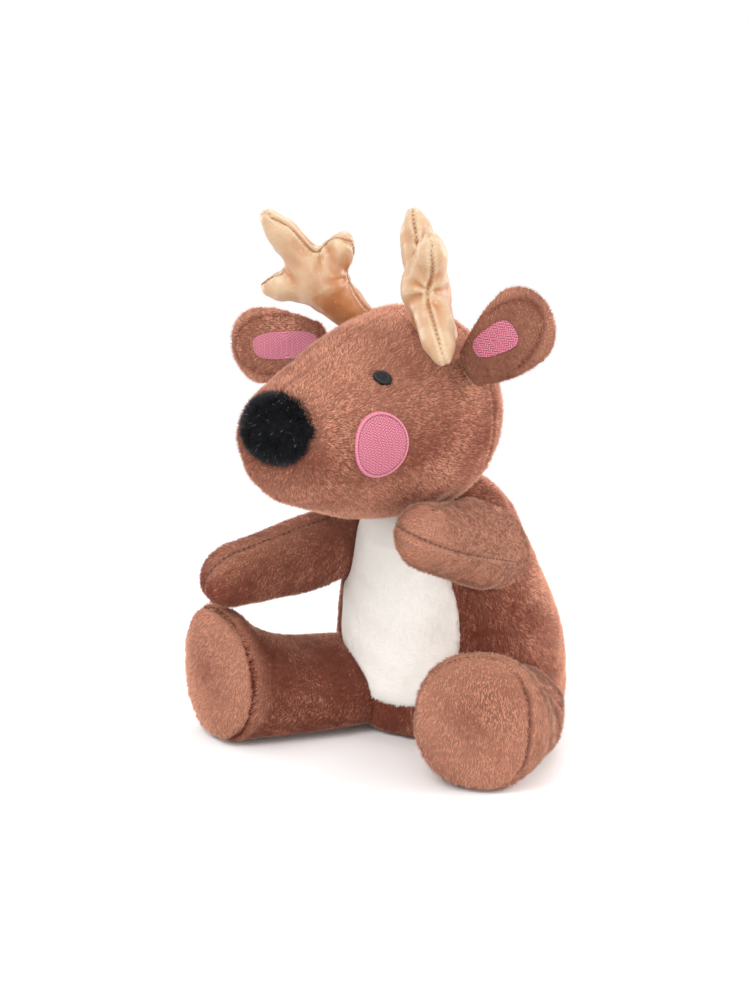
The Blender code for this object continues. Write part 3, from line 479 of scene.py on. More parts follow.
def leg_form(side):
    """The leg lies along +X, low and broad at the hip, and swells to the foot. Its far end closes in a sole,
    after a ring seam."""
    place = body_place.inside(facing(leg_turns[side], 0.0), beside(hip_place, sides[side]))
    last = leg_shares[-1][0]
    share = np.linspace(0, last, 60)
    width, height = columns(leg_shares, share)
    settle = np.minimum(share / leg_settled_share, 1)
    b = foot_height / 2 * height
    lift = (b - floor_flat_depth - hip_place[2]) * settle
    b = b + (leg_root_height / 2 - b[0]) * (1 - ramp(share, 0, 0.2))
    a = foot_width / 2 * width
    a = a + (leg_root_radius - a[0]) * (1 - ramp(share, 0, 0.2))
    power = 1 - (1 - leg_roundness) * settle
    under = leg_under_roundness + (leg_roundness - leg_under_roundness) * share
    edge = np.linspace(last, 1, 8)[1:]
    rounding = np.sqrt(np.maximum(1 - ((edge - last) / (1 - last)) ** 2 * 0.5, 0))
    wide = sole_width / 2 + (a[-1] - sole_width / 2) * (rounding - rounding[-1]) / (1 - rounding[-1])
    tall = sole_height / 2 + (b[-1] - sole_height / 2) * (rounding - rounding[-1]) / (1 - rounding[-1])
    a, b = np.concatenate([a, wide]), np.concatenate([b, tall])
    seam_lift = foot_height / 2 - floor_flat_depth - hip_place[2]
    lift = np.concatenate([lift, np.linspace(lift[-1], seam_lift, 8)[1:]])
    power = np.concatenate([power, np.full(7, leg_roundness)])
    under = np.concatenate([under, np.full(7, leg_roundness)])
    stations = leg_length * np.concatenate([share, edge])
    t, a, b, lift, power, under = capped(
        leg_root_radius, stations, a, b, sole_dome_length, (lift, power, under)
    )
    return Form(place, ((1, 0, 0), (0, 1, 0), (0, 0, 1)), t, a, b, lift, power, under)


def ear_frame(side):
    sign = sides[side]
    turn = turned("Z", 90.0 - 90.0 * sign) @ turned("Y", -ear_lifts[side])
    return head_place.inside(turn, on_head(ear_place, sign))


def ear_form(side):
    """A flat paddle along +X, its width along Z and its thickness along Y."""
    last = ear_shares[-1][0]
    share = np.linspace(0, last, 40)
    width, thickness = columns(ear_shares, share)
    b = ear_width / 2 * width
    b = b + (ear_root_width / 2 - b[0]) * (1 - ramp(share, 0, 0.2))
    a = ear_thickness / 2 * thickness
    longer = ear_length + ear_extra[side]
    t, a, b = capped(ear_thickness / 2, longer * share, a, b, longer * (1 - last), ())
    return Form(ear_frame(side), ((1, 0, 0), (0, 1, 0), (0, 0, 1)), t, a, b)


forms = {"torso": body_form(), "head": head_form()}
for each_side in sides:
    forms[f"arm_{each_side}"] = arm_form(each_side)
    forms[f"leg_{each_side}"] = leg_form(each_side)
    forms[f"ear_{each_side}"] = ear_form(each_side)


# ---------------------------------------------------------------- meshes from arrays


def mesh_object(name, points, faces, sizes, body, material, uv=None):
    """A mesh from flat arrays: the points, the corners of every face in turn, and the size of each face."""
    mesh = bpy.data.meshes.new(name)
    mesh.vertices.add(len(points))
    mesh.vertices.foreach_set("co", np.asarray(points, np.float32).ravel())
    mesh.loops.add(len(faces))
    mesh.loops.foreach_set("vertex_index", np.asarray(faces, np.int32))
    mesh.polygons.add(len(sizes))
    starts = np.concatenate([[0], np.cumsum(sizes)[:-1]])
    mesh.polygons.foreach_set("loop_start", starts.astype(np.int32))
    mesh.update(calc_edges=True)
    if uv is not None:
        layer = mesh.uv_layers.new(name="OFBake")
        layer.data.foreach_set("uv", np.asarray(uv, np.float32).ravel())
    mesh.polygons.foreach_set("use_smooth", np.ones(len(sizes), bool))
    mesh.validate()
    thing = bpy.data.objects.new(name, mesh)
    bpy.context.scene.collection.objects.link(thing)
    mesh.materials.append(material)
    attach(thing, body)
    return thing


def grid_normals(points):
    """Outward unit normals of a closed grid: the cross product of the steps along its rows and columns."""
    along = np.gradient(points, axis=0)
    inner = points[:, :-1]
    across = np.roll(inner, -1, axis=1) - np.roll(inner, 1, axis=1)
    across = np.concatenate([across, across[:, :1]], axis=1)
    normals = np.cross(across, along)
    centre = points.mean(axis=1, keepdims=True)
    facing_out = ((points - centre) * normals).sum() < 0
    normals = unit(-normals if facing_out else normals)
    for edge, inside in ((0, 1), (-1, -2)):
        normals[edge] = unit(normals[inside].mean(axis=0))
    return normals


def closed_grid(points):
    """Corners and sizes of the faces of a grid whose first and last rows are poles and whose last column is
    the first again. Each pole is one point, joined by a fan of triangles."""
    rows, turns = points.shape[0], points.shape[1] - 1
    vertices = np.concatenate([points[:1, 0], points[1:-1, :-1].reshape(-1, 3), points[-1:, 0]])
    index = 1 + np.arange((rows - 2) * turns).reshape(rows - 2, turns)
    right = np.roll(index, -1, axis=1)
    quads = np.stack([index[:-1], right[:-1], right[1:], index[1:]], axis=-1).reshape(-1, 4)
    last = len(vertices) - 1
    first_fan = np.stack([np.zeros(turns, int), right[0], index[0]], axis=-1)
    last_fan = np.stack([np.full(turns, last), index[-1], right[-1]], axis=-1)
    corners = vertices[quads[:, :3]] - vertices.mean(axis=0)
    if np.linalg.det(corners).sum() < 0:
        quads, first_fan, last_fan = quads[:, ::-1], first_fan[:, ::-1], last_fan[:, ::-1]
    faces = np.concatenate([quads.ravel(), first_fan.ravel(), last_fan.ravel()])
    sizes = np.concatenate([np.full(len(quads), 4), np.full(2 * turns, 3)])
    return vertices, faces, sizes


class Shell:
    """A closed grid of the deer's surface in the world, with what its pile needs at every point."""

    def __init__(self, key, rows, turns):
        self.form = forms[key]
        local, self.t, self.turn = self.form.grid(rows, turns)
        self.local = local
        self.points = self.form.place.out(local)
        self.normals = grid_normals(self.points)
        self.weight = np.ones(self.t.shape)
        self.length = np.ones(self.t.shape)
        self.tone = np.zeros(self.t.shape)
        self.nap = np.zeros(self.points.shape)

    def press(self, depth):
        """Moves every point inwards by its depth."""
        self.points = self.points - self.normals * depth[..., None]

    def settle(self):
        """New normals after the points have moved."""
        self.normals = grid_normals(self.points)

    def lay(self, direction):
        """The nap's direction: a world vector at each point, laid flat on the surface."""
        direction = np.broadcast_to(direction, self.points.shape)
        flat = direction - self.normals * (direction * self.normals).sum(-1, keepdims=True)
        self.nap = unit(flat)

    def bare_where(self, depth, low, high):
        """Thins the pile out between two depths inside a neighbour."""
        self.weight = self.weight * (1 - ramp(depth, low, high))


def scattered(shell, count, rng):
    """Pile roots: cells are drawn by area times weight, then a point is placed at random in each cell by
    blending its four corners."""
    points, weight = shell.points, shell.weight
    side_a = points[1:, :-1] - points[:-1, :-1]
    side_b = points[:-1, 1:] - points[:-1, :-1]
    side_c = points[1:, 1:] - points[1:, :-1]
    area = np.linalg.norm(np.cross(side_a, (side_b + side_c) / 2), axis=-1)
    cell_weight = (weight[:-1, :-1] + weight[1:, :-1] + weight[:-1, 1:] + weight[1:, 1:]) / 4
    chance = np.cumsum((area * cell_weight).ravel())
    drawn = np.searchsorted(chance, rng.random(count) * chance[-1])
    row, column = np.unravel_index(np.minimum(drawn, area.size - 1), area.shape)
    order = np.lexsort((column, row))
    row, column = row[order], column[order]
    u, v = rng.random(count), rng.random(count)

    def blended(field):
        field = field.reshape(points.shape[0], points.shape[1], -1)
        corner_weights = ((1 - u) * (1 - v), u * (1 - v), (1 - u) * v, u * v)
        corners = (field[row, column], field[row + 1, column], field[row, column + 1], field[row + 1, column + 1])
        return sum(w[:, None] * c for w, c in zip(corner_weights, corners))

    return {
        "roots": blended(points),
        "normals": unit(blended(shell.normals)),
        "nap": unit(blended(shell.nap)),
        "length": blended(shell.length)[:, 0],
        "tone": blended(shell.tone)[:, 0],
    }


def pile_area(shell):
    """The area under pile, in square millimetres."""
    points = shell.points
    side_a = points[1:, :-1] - points[:-1, :-1]
    side_b = points[:-1, 1:] - points[:-1, :-1]
    area = np.linalg.norm(np.cross(side_a, side_b), axis=-1)
    weight = (shell.weight[:-1, :-1] + shell.weight[1:, 1:]) / 2
    return float((area * weight).sum() * 1e6)


def pile_object(name, shell, style, body, material, key):
    """Short pile as slim closed spikes. Each leans from the normal towards the nap, swayed by slow and quick
    noise, so that the pile lies in tufts. The UV map's U is the spike's tone and its V runs up the spike."""
    rng = np.random.default_rng(seed * 100 + key)
    area = pile_area(shell)
    total = min(int(area * style["density"]), pile_piece_limit * style.get("pieces", 1))
    roots = scattered(shell, total, rng)
    made = []
    parts = max(1, -(-total // pile_piece_limit))
    for part in range(parts):
        pick = slice(part * total // parts, (part + 1) * total // parts)
        few = {field: values[pick] for field, values in roots.items()}
        suffix = f"_{part + 1}" if parts > 1 else ""
        made.append(spikes(name + suffix, few, style, body, material, rng, key))
    return made


def spikes(name, roots, style, body, material, rng, key):
    count = len(roots["roots"])
    place, normal = roots["roots"], roots["normals"]
    sideways = np.cross(normal, roots["nap"])
    sway = style["sway"] * (0.75 * waves(place, 0.011, key) + 0.55 * waves(place, 0.0042, key + 1))
    sway = sway + rng.normal(0, style["stray"], count)
    lean = math.radians(style["lean"]) + style["tuft"] * waves(place, 0.0065, key + 2)
    lean = np.clip(lean + rng.normal(0, style["stray"] * 0.6, count), 0.05, 1.45)
    flat = roots["nap"] * np.cos(sway)[:, None] + sideways * np.sin(sway)[:, None]
    along = unit(flat * np.sin(lean)[:, None] + normal * np.cos(lean)[:, None])
    length = style["length"] * roots["length"] * rng.uniform(0.72, 1.12, count)
    width = style["width"] * rng.uniform(0.8, 1.2, count)
    wide = unit(np.cross(normal, along) + 1e-9)
    thick = np.cross(along, wide)
    start = place - normal * pile_sink
    turns = np.radians([90.0, 210.0, 330.0])
    ring = (
        wide[:, None] * np.cos(turns)[None, :, None] * 0.5 + thick[:, None] * np.sin(turns)[None, :, None] * 0.3
    ) * width[:, None, None]
    tip = start + along * (length + pile_sink)[:, None]
    points = np.concatenate([start[:, None] + ring, tip[:, None]], axis=1)
    corners = np.array([[0, 1, 3], [1, 2, 3], [2, 0, 3], [0, 2, 1]])
    faces = (np.arange(count)[:, None, None] * 4 + corners).reshape(-1)
    broad = waves(place, 0.030, key + 3) + 0.28 * waves(place, 0.010, key + 6)
    fine = 0.50 * waves(place, 0.0045, key + 4) + 0.68 * waves(place, 0.0019, key + 5)
    tone = roots["tone"] + style["mottle"] * (broad + fine) + style["brushed"] * sway
    tone = np.clip(tone + rng.normal(0, style["scatter"], count), 0.02, 0.93)
    stray = rng.random(count) < style["flecks"]
    tone = np.where(stray, 0.96, tone)
    shift = np.array([[0.0, -0.004, 0.0], [-0.004, 0.004, 0.0], [0.004, 0.0, 0.0], [0.0, 0.004, -0.004]])
    rise = np.array([[0.03, 0.0, 1.0], [0.0, 0.0, 1.0], [0.0, 0.03, 1.0], [0.03, 0.0, 0.0]])
    u = tone[:, None, None] + shift
    v = np.broadcast_to(rise, u.shape) * 0.96 + 0.02
    uv = np.stack([u, v], axis=-1).reshape(-1, 2)
    sizes = np.full(count * 4, 3)
    thing = mesh_object(name, points.reshape(-1, 3), faces, sizes, body, material, uv)
    blend = style["soft"]
    spread = unit(ring)
    lit = unit(normal[:, None] * blend + spread * (1 - blend))
    tips = unit(normal * blend + along * (1 - blend) * 0.5)
    vertex_normals = np.concatenate([lit, tips[:, None]], axis=1).reshape(-1, 3)
    thing.data.normals_split_custom_set_from_vertices(vertex_normals)
    return thing


def shell_object(name, shell, body, material):
    """The cloth under the pile, as one closed mesh."""
    vertices, faces, sizes = closed_grid(shell.points)
    thing = mesh_object(name, vertices, faces, sizes, body, material)
    tones = np.concatenate([shell.tone[:1, 0], shell.tone[1:-1, :-1].ravel(), shell.tone[-1:, 0]])
    layer = thing.data.attributes.new("tone", "FLOAT", "POINT")
    layer.data.foreach_set("value", np.clip(tones, 0, 0.93).astype(np.float32))
    return thing


def seam(distance, along, depth, width, pitch, pull):
    """How far a sewn seam draws the cloth in: a narrow bell at the seam, less a low swelling beside it, both
    swayed along the seam by the pull of each stitch."""
    tug = 1 + pull * np.sin(math.tau * along / pitch) + 0.5 * pull * np.sin(math.tau * along / (pitch * 2.7) + 1)
    beside_seam = np.exp(-(((distance - 2.6 * width) / (1.5 * width)) ** 2))
    return depth * (bump(distance, width) - 0.32 * beside_seam * tug) * np.where(distance < width, tug, 1)


# ---------------------------------------------------------------- materials


def srgb(red, green, blue):
    """A colour written in 0 to 255 screen values, as linear numbers."""
    values = np.array([red, green, blue], float) / 255
    return tuple(np.where(values <= 0.04045, values / 12.92, ((values + 0.055) / 1.055) ** 2.4)) + (1.0,)


class Value:
    """One socket of a node tree. The operators add Math nodes."""

    def __init__(self, tree, socket):
        self.tree = tree
        self.socket = socket

    def math(self, operation, *others, clamp=False):
        node = self.tree.nodes.new("ShaderNodeMath")
        node.operation = operation
        node.use_clamp = clamp
        for index, value in enumerate((self, *others)):
            if isinstance(value, Value):
                self.tree.links.new(value.socket, node.inputs[index])
            else:
                node.inputs[index].default_value = value
        return Value(self.tree, node.outputs[0])

    def __add__(self, other):
        return self.math("ADD", other)

    def __mul__(self, other):
        return self.math("MULTIPLY", other)

    def __sub__(self, other):
        return self.math("SUBTRACT", other)

    def __rsub__(self, other):
        return (self * -1.0) + other

    def __truediv__(self, other):
        return self.math("DIVIDE", other)

    __radd__ = __add__
    __rmul__ = __mul__

    def ramp(self, low, high):
        node = self.tree.nodes.new("ShaderNodeMapRange")
        node.interpolation_type = "SMOOTHSTEP"
        self.tree.links.new(self.socket, node.inputs["Value"])
        node.inputs["From Min"].default_value = low
        node.inputs["From Max"].default_value = high
        return Value(self.tree, node.outputs["Result"])


class Finish:
    """A material on one Principled shader."""

    def __init__(self, name, **uniform):
        self.material = bpy.data.materials.new(name)
        self.material.use_nodes = True
        self.tree = self.material.node_tree
        self.shader = self.tree.nodes["Principled BSDF"]
        for socket, value in uniform.items():
            self.shader.inputs[socket.replace("_", " ")].default_value = value

    def node(self, kind, settings=(), **sockets):
        """One node: its type, its settings, then the values or links of its sockets."""
        made = self.tree.nodes.new(kind)
        for name, value in dict(settings).items():
            setattr(made, name, value)
        for name, value in sockets.items():
            socket = made.inputs[name.replace("_", " ")]
            if isinstance(value, Value):
                self.tree.links.new(value.socket, socket)
            else:
                socket.default_value = value
        return made

    def out(self, node, name):
        return Value(self.tree, node.outputs[name])

    def object_point(self):
        return self.out(self.node("ShaderNodeTexCoord"), "Object")

    def own_map(self):
        own_map = self.node("ShaderNodeUVMap", {"uv_map": "OFBake"})
        parts = self.node("ShaderNodeSeparateXYZ", Vector=self.out(own_map, "UV"))
        return self.out(parts, "X"), self.out(parts, "Y")

    def noise(self, scale, detail=3.0, rough=0.55, point=None):
        made = self.node(
            "ShaderNodeTexNoise", Vector=point or self.object_point(), Scale=scale, Detail=detail, Roughness=rough
        )
        return self.out(made, "Fac")

    def mixed(self, share, first, second, blend="MIX"):
        made = self.tree.nodes.new("ShaderNodeMix")
        made.data_type = "RGBA"
        made.blend_type = blend
        for index, value in ((0, share), (6, first), (7, second)):
            if isinstance(value, Value):
                self.tree.links.new(value.socket, made.inputs[index])
            else:
                made.inputs[index].default_value = value
        return Value(self.tree, made.outputs[2])

    def send(self, value, socket):
        self.tree.links.new(value.socket, self.shader.inputs[socket])

    def relief(self, height, distance, strength=1.0):
        made = self.node("ShaderNodeBump", Height=height, Distance=distance, Strength=strength)
        self.send(self.out(made, "Normal"), "Normal")


def pile_finish(name, dark, light, root_shade_share, sheen=0.0, sheen_tint=(1, 1, 1, 1), roughness=0.8, fleck=None):
    """Pile: the UV map's U picks a tone between dark and light, and the colour darkens towards the root as
    painted shade among the fibres. A tone above 0.94 is a stray fibre of the fleck colour."""
    finish = Finish(name, Roughness=roughness, Sheen_Weight=sheen, Sheen_Tint=sheen_tint, Sheen_Roughness=0.38)
    finish.shader.inputs["Specular IOR Level"].default_value = 0.15
    tone, up = finish.own_map()
    colour = finish.mixed(tone, dark, light)
    if fleck:
        colour = finish.mixed(tone.ramp(0.940, 0.945), colour, fleck)
    # The light colour darkened by the root share: painted shade at the spikes' roots
    deep = tuple(channel * root_shade_share for channel in light[:3]) + (1.0,)
    finish.send(finish.mixed(up.ramp(0.0, 0.75), finish.mixed(1.0, colour, deep, "MULTIPLY"), colour), "Base Color")
    return finish.material


def backing_finish(name, dark, light):
    """The ground under the pile: the mesh's tone attribute picks between dark and light, as the pile's UV
    map does. It is mottled at the scale of tufts, with a fine grain."""
    finish = Finish(name, Roughness=0.95, Specular_IOR_Level=0.1)
    tufts = finish.noise(420.0, 3.0)
    grain = finish.noise(2600.0, 2.0)
    tone = finish.out(finish.node("ShaderNodeAttribute", {"attribute_name": "tone"}), "Fac")
    finish.send(finish.mixed(tone + tufts * 0.3 - 0.15, dark, light), "Base Color")
    finish.relief(tufts * 0.6 + grain * 0.4, 0.0006)
    return finish.material


def thread_finish(name, dark, light, roughness, sheen):
    """Embroidery: the UV map's U is how high a thread stands, so that the gaps between threads are darker as painted
    shade.
    """
    finish = Finish(name, Roughness=roughness, Sheen_Weight=sheen, Sheen_Roughness=0.3)
    tone, _ = finish.own_map()
    fleck = finish.noise(3500.0, 2.0)
    colour = finish.mixed(tone.ramp(0.1, 0.9), dark, light)
    finish.send(finish.mixed(fleck.ramp(0.2, 0.8) * 0.18, colour, dark), "Base Color")
    return finish.material


def hide_finish(name, base, shade, glint):
    """Leatherette: a satin coat over a fine pebbled grain, browner as painted shade where the mesh's shade
    attribute says so, in folds, grooves and near the root, and paler in random flecks of painted highlight."""
    finish = Finish(name, Roughness=0.42, Metallic=0.0, Coat_Weight=0.36, Coat_Roughness=0.30, Sheen_Weight=0.2)
    finish.shader.inputs["Sheen Tint"].default_value = glint
    painted_shade = finish.out(finish.node("ShaderNodeAttribute", {"attribute_name": "shade"}), "Fac")
    broad = finish.noise(90.0, 3.0)
    fine = finish.noise(900.0, 2.0)
    grain = finish.out(
        finish.node("ShaderNodeTexVoronoi", Vector=finish.object_point(), Scale=2300.0), "Distance"
    )
    colour = finish.mixed(broad.ramp(0.36, 0.68) * 0.22, base, shade)
    colour = finish.mixed(painted_shade, colour, shade)
    finish.send(finish.mixed(fine.ramp(0.62, 0.8) * 0.3, colour, glint), "Base Color")
    finish.send(fine.ramp(0.2, 0.9) * 0.12 + 0.35, "Roughness")
    finish.relief(grain * 0.5 + fine * 0.5, 0.0002, 0.5)
    return finish.material


# ---------------------------------------------------------------- settings


def colour_setting(name, default, description):
    return bpy.props.FloatVectorProperty(
        name=name, description=description, default=default[:3], subtype="COLOR", size=3, min=0.0, max=1.0
    )


class PlushDeerPile(bpy.types.PropertyGroup):
    """Sizes of the pile."""

    length: bpy.props.FloatProperty(
        name="Pile length", description="Length of the brown pile", default=0.0019, unit="LENGTH", min=0.0005
    )
    width: bpy.props.FloatProperty(
        name="Tuft width", description="Width of one tuft of pile", default=0.00050, unit="LENGTH", min=0.00005
    )
    density: bpy.props.FloatProperty(
        name="Tufts", description="Tufts on each square millimetre", default=2.15, min=0.1
    )
    tummy_length: bpy.props.FloatProperty(
        name="Tummy pile", description="Length of the cream pile", default=0.0011, unit="LENGTH", min=0.0002
    )
    nose_length: bpy.props.FloatProperty(
        name="Nose pile", description="Length of the black pile", default=0.0031, unit="LENGTH", min=0.0005
    )
    lumps: bpy.props.FloatProperty(
        name="Lumps", description="How far the stuffing swells and sinks", default=0.00055, unit="LENGTH", min=0.0
    )


class PlushDeerColours(bpy.types.PropertyGroup):
    """Colours of the cloths and threads."""

    brown_light: colour_setting("Light brown", srgb(220, 158, 131), "Brown pile in the light")
    # The dark brown stands for pile in painted shade as well as patches brushed against the nap
    brown_dark: colour_setting("Dark brown", srgb(118, 48, 34), "Brown pile brushed the other way")
    cream: colour_setting("Cream", srgb(242, 239, 233), "Tummy pile")
    black: colour_setting("Black", srgb(28, 29, 33), "Nose pile")
    pink: colour_setting("Pink", srgb(214, 122, 143), "Embroidery thread")
    tan: colour_setting("Tan", srgb(197, 173, 140), "Leatherette")
    wall: colour_setting("Floor", srgb(246, 246, 246), "Floor and backdrop")


class PlushDeerLight(bpy.types.PropertyGroup):
    """The studio light."""

    key: bpy.props.FloatProperty(name="Key light", description="Large lamp on the viewer's left", default=9.2)
    fill: bpy.props.FloatProperty(name="Side light", description="Large lamp on the viewer's right", default=7.6)
    front: bpy.props.FloatProperty(name="Front light", description="Large lamp near the viewer", default=5.2)
    rim: bpy.props.FloatProperty(name="Rim light", description="Lamp behind the deer", default=4.0)
    low: bpy.props.FloatProperty(name="Low lights", description="Each of two low lamps behind the deer", default=4.0)
    world: bpy.props.FloatProperty(name="Room light", description="Light from all round", default=0.92)


def settings():
    return bpy.context.scene.plush_deer_pile, bpy.context.scene.plush_deer_colours


def tint(colour, share=1.0):
    return tuple(min(channel * share, 1.0) for channel in tuple(colour)[:3]) + (1.0,)


def brown_style(**changes):
    pile, _ = settings()
    style = {
        "density": pile.density,
        "length": pile.length,
        "width": pile.width,
        "lean": 53.0,
        "tuft": 0.05,
        "sway": 0.42,
        "stray": 0.27,
        "mottle": 0.25,
        "brushed": 0.13,
        "scatter": 0.10,
        "flecks": 0.0006,
        "soft": 0.80,
        "pieces": 2,
    }
    style.update(changes)
    return style


materials = {}


def cloths():
    """Every cloth and thread of the deer, made once."""
    if materials:
        return materials
    _, colours = settings()
    light, dark = tint(colours.brown_light), tint(colours.brown_dark)
    pale_rim = srgb(246, 192, 168)
    materials["brown_pile"] = pile_finish("brown_pile", dark, light, 0.68, 0.80, pale_rim, fleck=tint(light, 1.25))
    # The backing seen between the spikes takes the pile's colours at 0.46: painted shade under the pile
    materials["brown_backing"] = backing_finish("brown_backing", tint(dark, 0.46), tint(light, 0.46))
    cream = tint(colours.cream)
    materials["cream_pile"] = pile_finish("cream_pile", tint(cream, 0.94), cream, 0.90, 0.05)
    materials["cream_backing"] = backing_finish("cream_backing", tint(cream, 0.97), cream)
    black = tint(colours.black)
    glint = tint(black, 22.0)
    materials["black_pile"] = pile_finish("black_pile", tint(black, 0.3), tint(black, 1.8), 0.4, 0.1, fleck=glint)
    materials["black_backing"] = backing_finish("black_backing", tint(black, 0.4), tint(black, 0.8))
    pink = tint(colours.pink)
    materials["pink_thread"] = thread_finish("pink_thread", tint(pink, 0.24), tint(pink, 1.0), 0.5, 0.12)
    materials["black_thread"] = thread_finish("black_thread", tint(black, 0.09), tint(black, 0.34), 0.62, 0.0)
    materials["dark_stitch"] = thread_finish("dark_stitch", srgb(60, 28, 20), srgb(96, 50, 36), 0.5, 0.1)
    tan = tint(colours.tan)
    # The second colour is the painted shade of folds, grooves and root; the third is the paler colour of the painted
    # highlight flecks and the sheen's tint
    materials["tan_hide"] = hide_finish("tan_hide", tan, srgb(172, 112, 68), srgb(252, 228, 200))
    materials["tan_stitch"] = thread_finish("tan_stitch", srgb(142, 96, 60), srgb(186, 138, 96), 0.5, 0.0)
    return materials


# ---------------------------------------------------------------- torso and tummy


def lumpy(shell, key, share=1.0):
    """Stuffing: broad swells and smaller dents along the normal."""
    pile, _ = settings()
    swell = 0.7 * waves(shell.points, 0.034, key) + 0.4 * waves(shell.points, 0.015, key + 1)
    shell.press(-pile.lumps * share * swell)


def tummy_edge(points):
    """How far torso points lie inside the tummy panel's outline, seen from the front, in metres."""
    local = body_place.back(points)
    tall = tummy_top_height - tummy_tip_height
    share = (local[..., 2] - tummy_tip_height) / tall
    width = columns(tummy_outline_shares, np.clip(share, 0, 1))[0]
    side = np.where(local[..., 0] > 0, tummy_left_width, tummy_right_width)
    inside = side * width - np.abs(local[..., 0])
    inside = np.minimum(inside, (local[..., 2] - tummy_tip_height) * 1.2)
    return np.where(local[..., 1] < -neck_forward / 2, inside, -0.05)


def make_torso():
    pile, _ = settings()
    cloth = cloths()
    shell = Shell("torso", 190, 240)
    lumpy(shell, 100)
    local = body_place.back(shell.points)
    inside = tummy_edge(shell.points)
    shell.press(np.full(inside.shape, pile.length * 0.38))
    front = local[..., 1] < 0
    centre = np.abs(local[..., 0]) + np.where(inside > -0.0005, 1.0, 0.0)
    shell.press(seam(centre, local[..., 2], 0.0011, 0.0012, 0.0032, 0.3) * ramp(local[..., 2], 0.002, 0.01))
    shell.press(seam(np.abs(inside), local[..., 2] + local[..., 0], 0.0009, 0.0011, 0.0036, 0.3) * front)
    shell.press(0.0019 * ramp(inside, 0.0, 0.002))
    for limb, key in (("leg_left", 1), ("leg_right", 2), ("arm_left", 3), ("arm_right", 4)):
        depth = forms[limb].depth(shell.points)
        shell.press(np.clip(depth + 0.0006, 0, 0.009))
        shell.bare_where(depth, 0.003, 0.008)
    shell.settle()
    shell.lay(np.array([0.0, 0.12, -1.0]))
    shell.weight *= 1 - ramp(inside, -0.0004, 0.0006)
    shell.bare_where(forms["head"].depth(shell.points), 0.002, 0.006)
    shell.weight *= ramp(shell.points[..., 2], 0.0004, 0.0022) * 0.9 + 0.1
    shell.length = 0.62 + 0.38 * ramp(np.abs(centre), 0.0, 0.0025)
    shell.length *= 0.45 + 0.55 * ramp(shell.points[..., 2], 0.0008, 0.004)
    # Painted light: the torso's front is darker as painted shade, and its sides and back paler as painted rim light
    turn_round = np.arctan2(local[..., 0], -local[..., 1])
    shell.tone = 0.28 + 0.53 * ramp(np.abs(turn_round), 1.1, 1.9)
    torso = shell_object("torso_plush", shell, "torso", cloth["brown_backing"])
    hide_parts("torso_panel_left", "torso_panel_right", "torso_filling")
    pile_object("torso_pile", shell, brown_style(), "torso", cloth["brown_pile"], 1)


def make_tummy():
    """The cream panel. Its grid runs from tip to top and from edge to edge: a point at share v of the height
    and u of the width lies on the torso's front, and swells by the pile's depth away from the edge."""
    pile, _ = settings()
    cloth = cloths()
    form = forms["torso"]
    v = np.linspace(0, 1, 110) ** 1.15
    u = np.linspace(-1, 1, 91)
    u = np.sign(u) * np.abs(u) ** 0.9
    width = columns(tummy_outline_shares, v)[0]
    x = np.where(u > 0, tummy_left_width, tummy_right_width)[None, :] * u[None, :] * width[:, None]
    z = tummy_tip_height + (tummy_top_height - tummy_tip_height) * v[:, None] + 0 * x
    a, b, c = (np.interp(z, form.t, each) for each in (form.a, form.b, form.c))
    y = c - b * np.sqrt(np.maximum(1 - (x / a) ** 2, 0.0))
    local = np.stack([x, y, z], axis=-1)
    points = body_place.out(local)
    out = local - np.stack([0 * x, c, z], axis=-1)
    out = unit(out / np.stack([a**2, b**2, np.ones_like(a)], axis=-1))
    inside = tummy_edge(points)
    swell = 0.0007 * ramp(inside, 0.0, 0.008) - 0.0011 * (1 - ramp(inside, 0.0, 0.0022)) - pile.tummy_length * 0.3
    lumps = 0.7 * waves(points, 0.034, 100) + 0.4 * waves(points, 0.015, 101)
    points = points + out * (swell + pile.lumps * lumps)[..., None]
    for limb in ("leg_left", "leg_right", "arm_left", "arm_right"):
        depth = forms[limb].depth(points)
        points = points - out * np.clip(depth + 0.0008, 0, 0.009)[..., None]
    under = points - out * 0.0012
    rows, cols = points.shape[:2]
    vertices = np.concatenate([points.reshape(-1, 3), under.reshape(-1, 3)])
    index = np.arange(rows * cols).reshape(rows, cols)
    top = np.stack([index[:-1, :-1], index[1:, :-1], index[1:, 1:], index[:-1, 1:]], axis=-1).reshape(-1, 4)
    rim = np.concatenate([index[0], index[1:, -1], index[-1, ::-1][1:], index[::-1, 0][1:]])
    back = rim + rows * cols
    wall = np.stack([rim[:-1], rim[1:], back[1:], back[:-1]], axis=-1)
    bottom = (top + rows * cols)[:, ::-1]
    direction = np.cross(points[1, 1] - points[0, 1], points[1, 2] - points[1, 1])
    quads = np.concatenate([top, bottom, wall])
    if direction @ out[1, 1] < 0:
        quads = quads[:, ::-1]
    quads = quads[:, ::-1]
    thing = mesh_object(
        "tummy_plush", vertices, quads.ravel(), np.full(len(quads), 4), "torso", cloth["cream_backing"]
    )
    merge_doubles(thing, 1e-6)
    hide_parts("tummy_panel")
    patch = Patch(points, out)
    patch.nap = unit(np.array([0.0, 0.2, -1.0]) - out * (out @ np.array([0.0, 0.2, -1.0]))[..., None])
    patch.tone = np.full(x.shape, 0.6)
    for limb in ("leg_left", "leg_right", "arm_left", "arm_right"):
        patch.weight *= 1 - ramp(forms[limb].depth(patch.points), 0.0, 0.003)
    style = brown_style(
        density=3.4, length=pile.tummy_length, width=0.00052, lean=66.0, sway=0.3, stray=0.2, pieces=1
    )
    style.update(mottle=0.08, brushed=0.05, scatter=0.05, flecks=0.0, soft=0.94)
    pile_object("tummy_pile", patch, style, "torso", cloth["cream_pile"], 2)


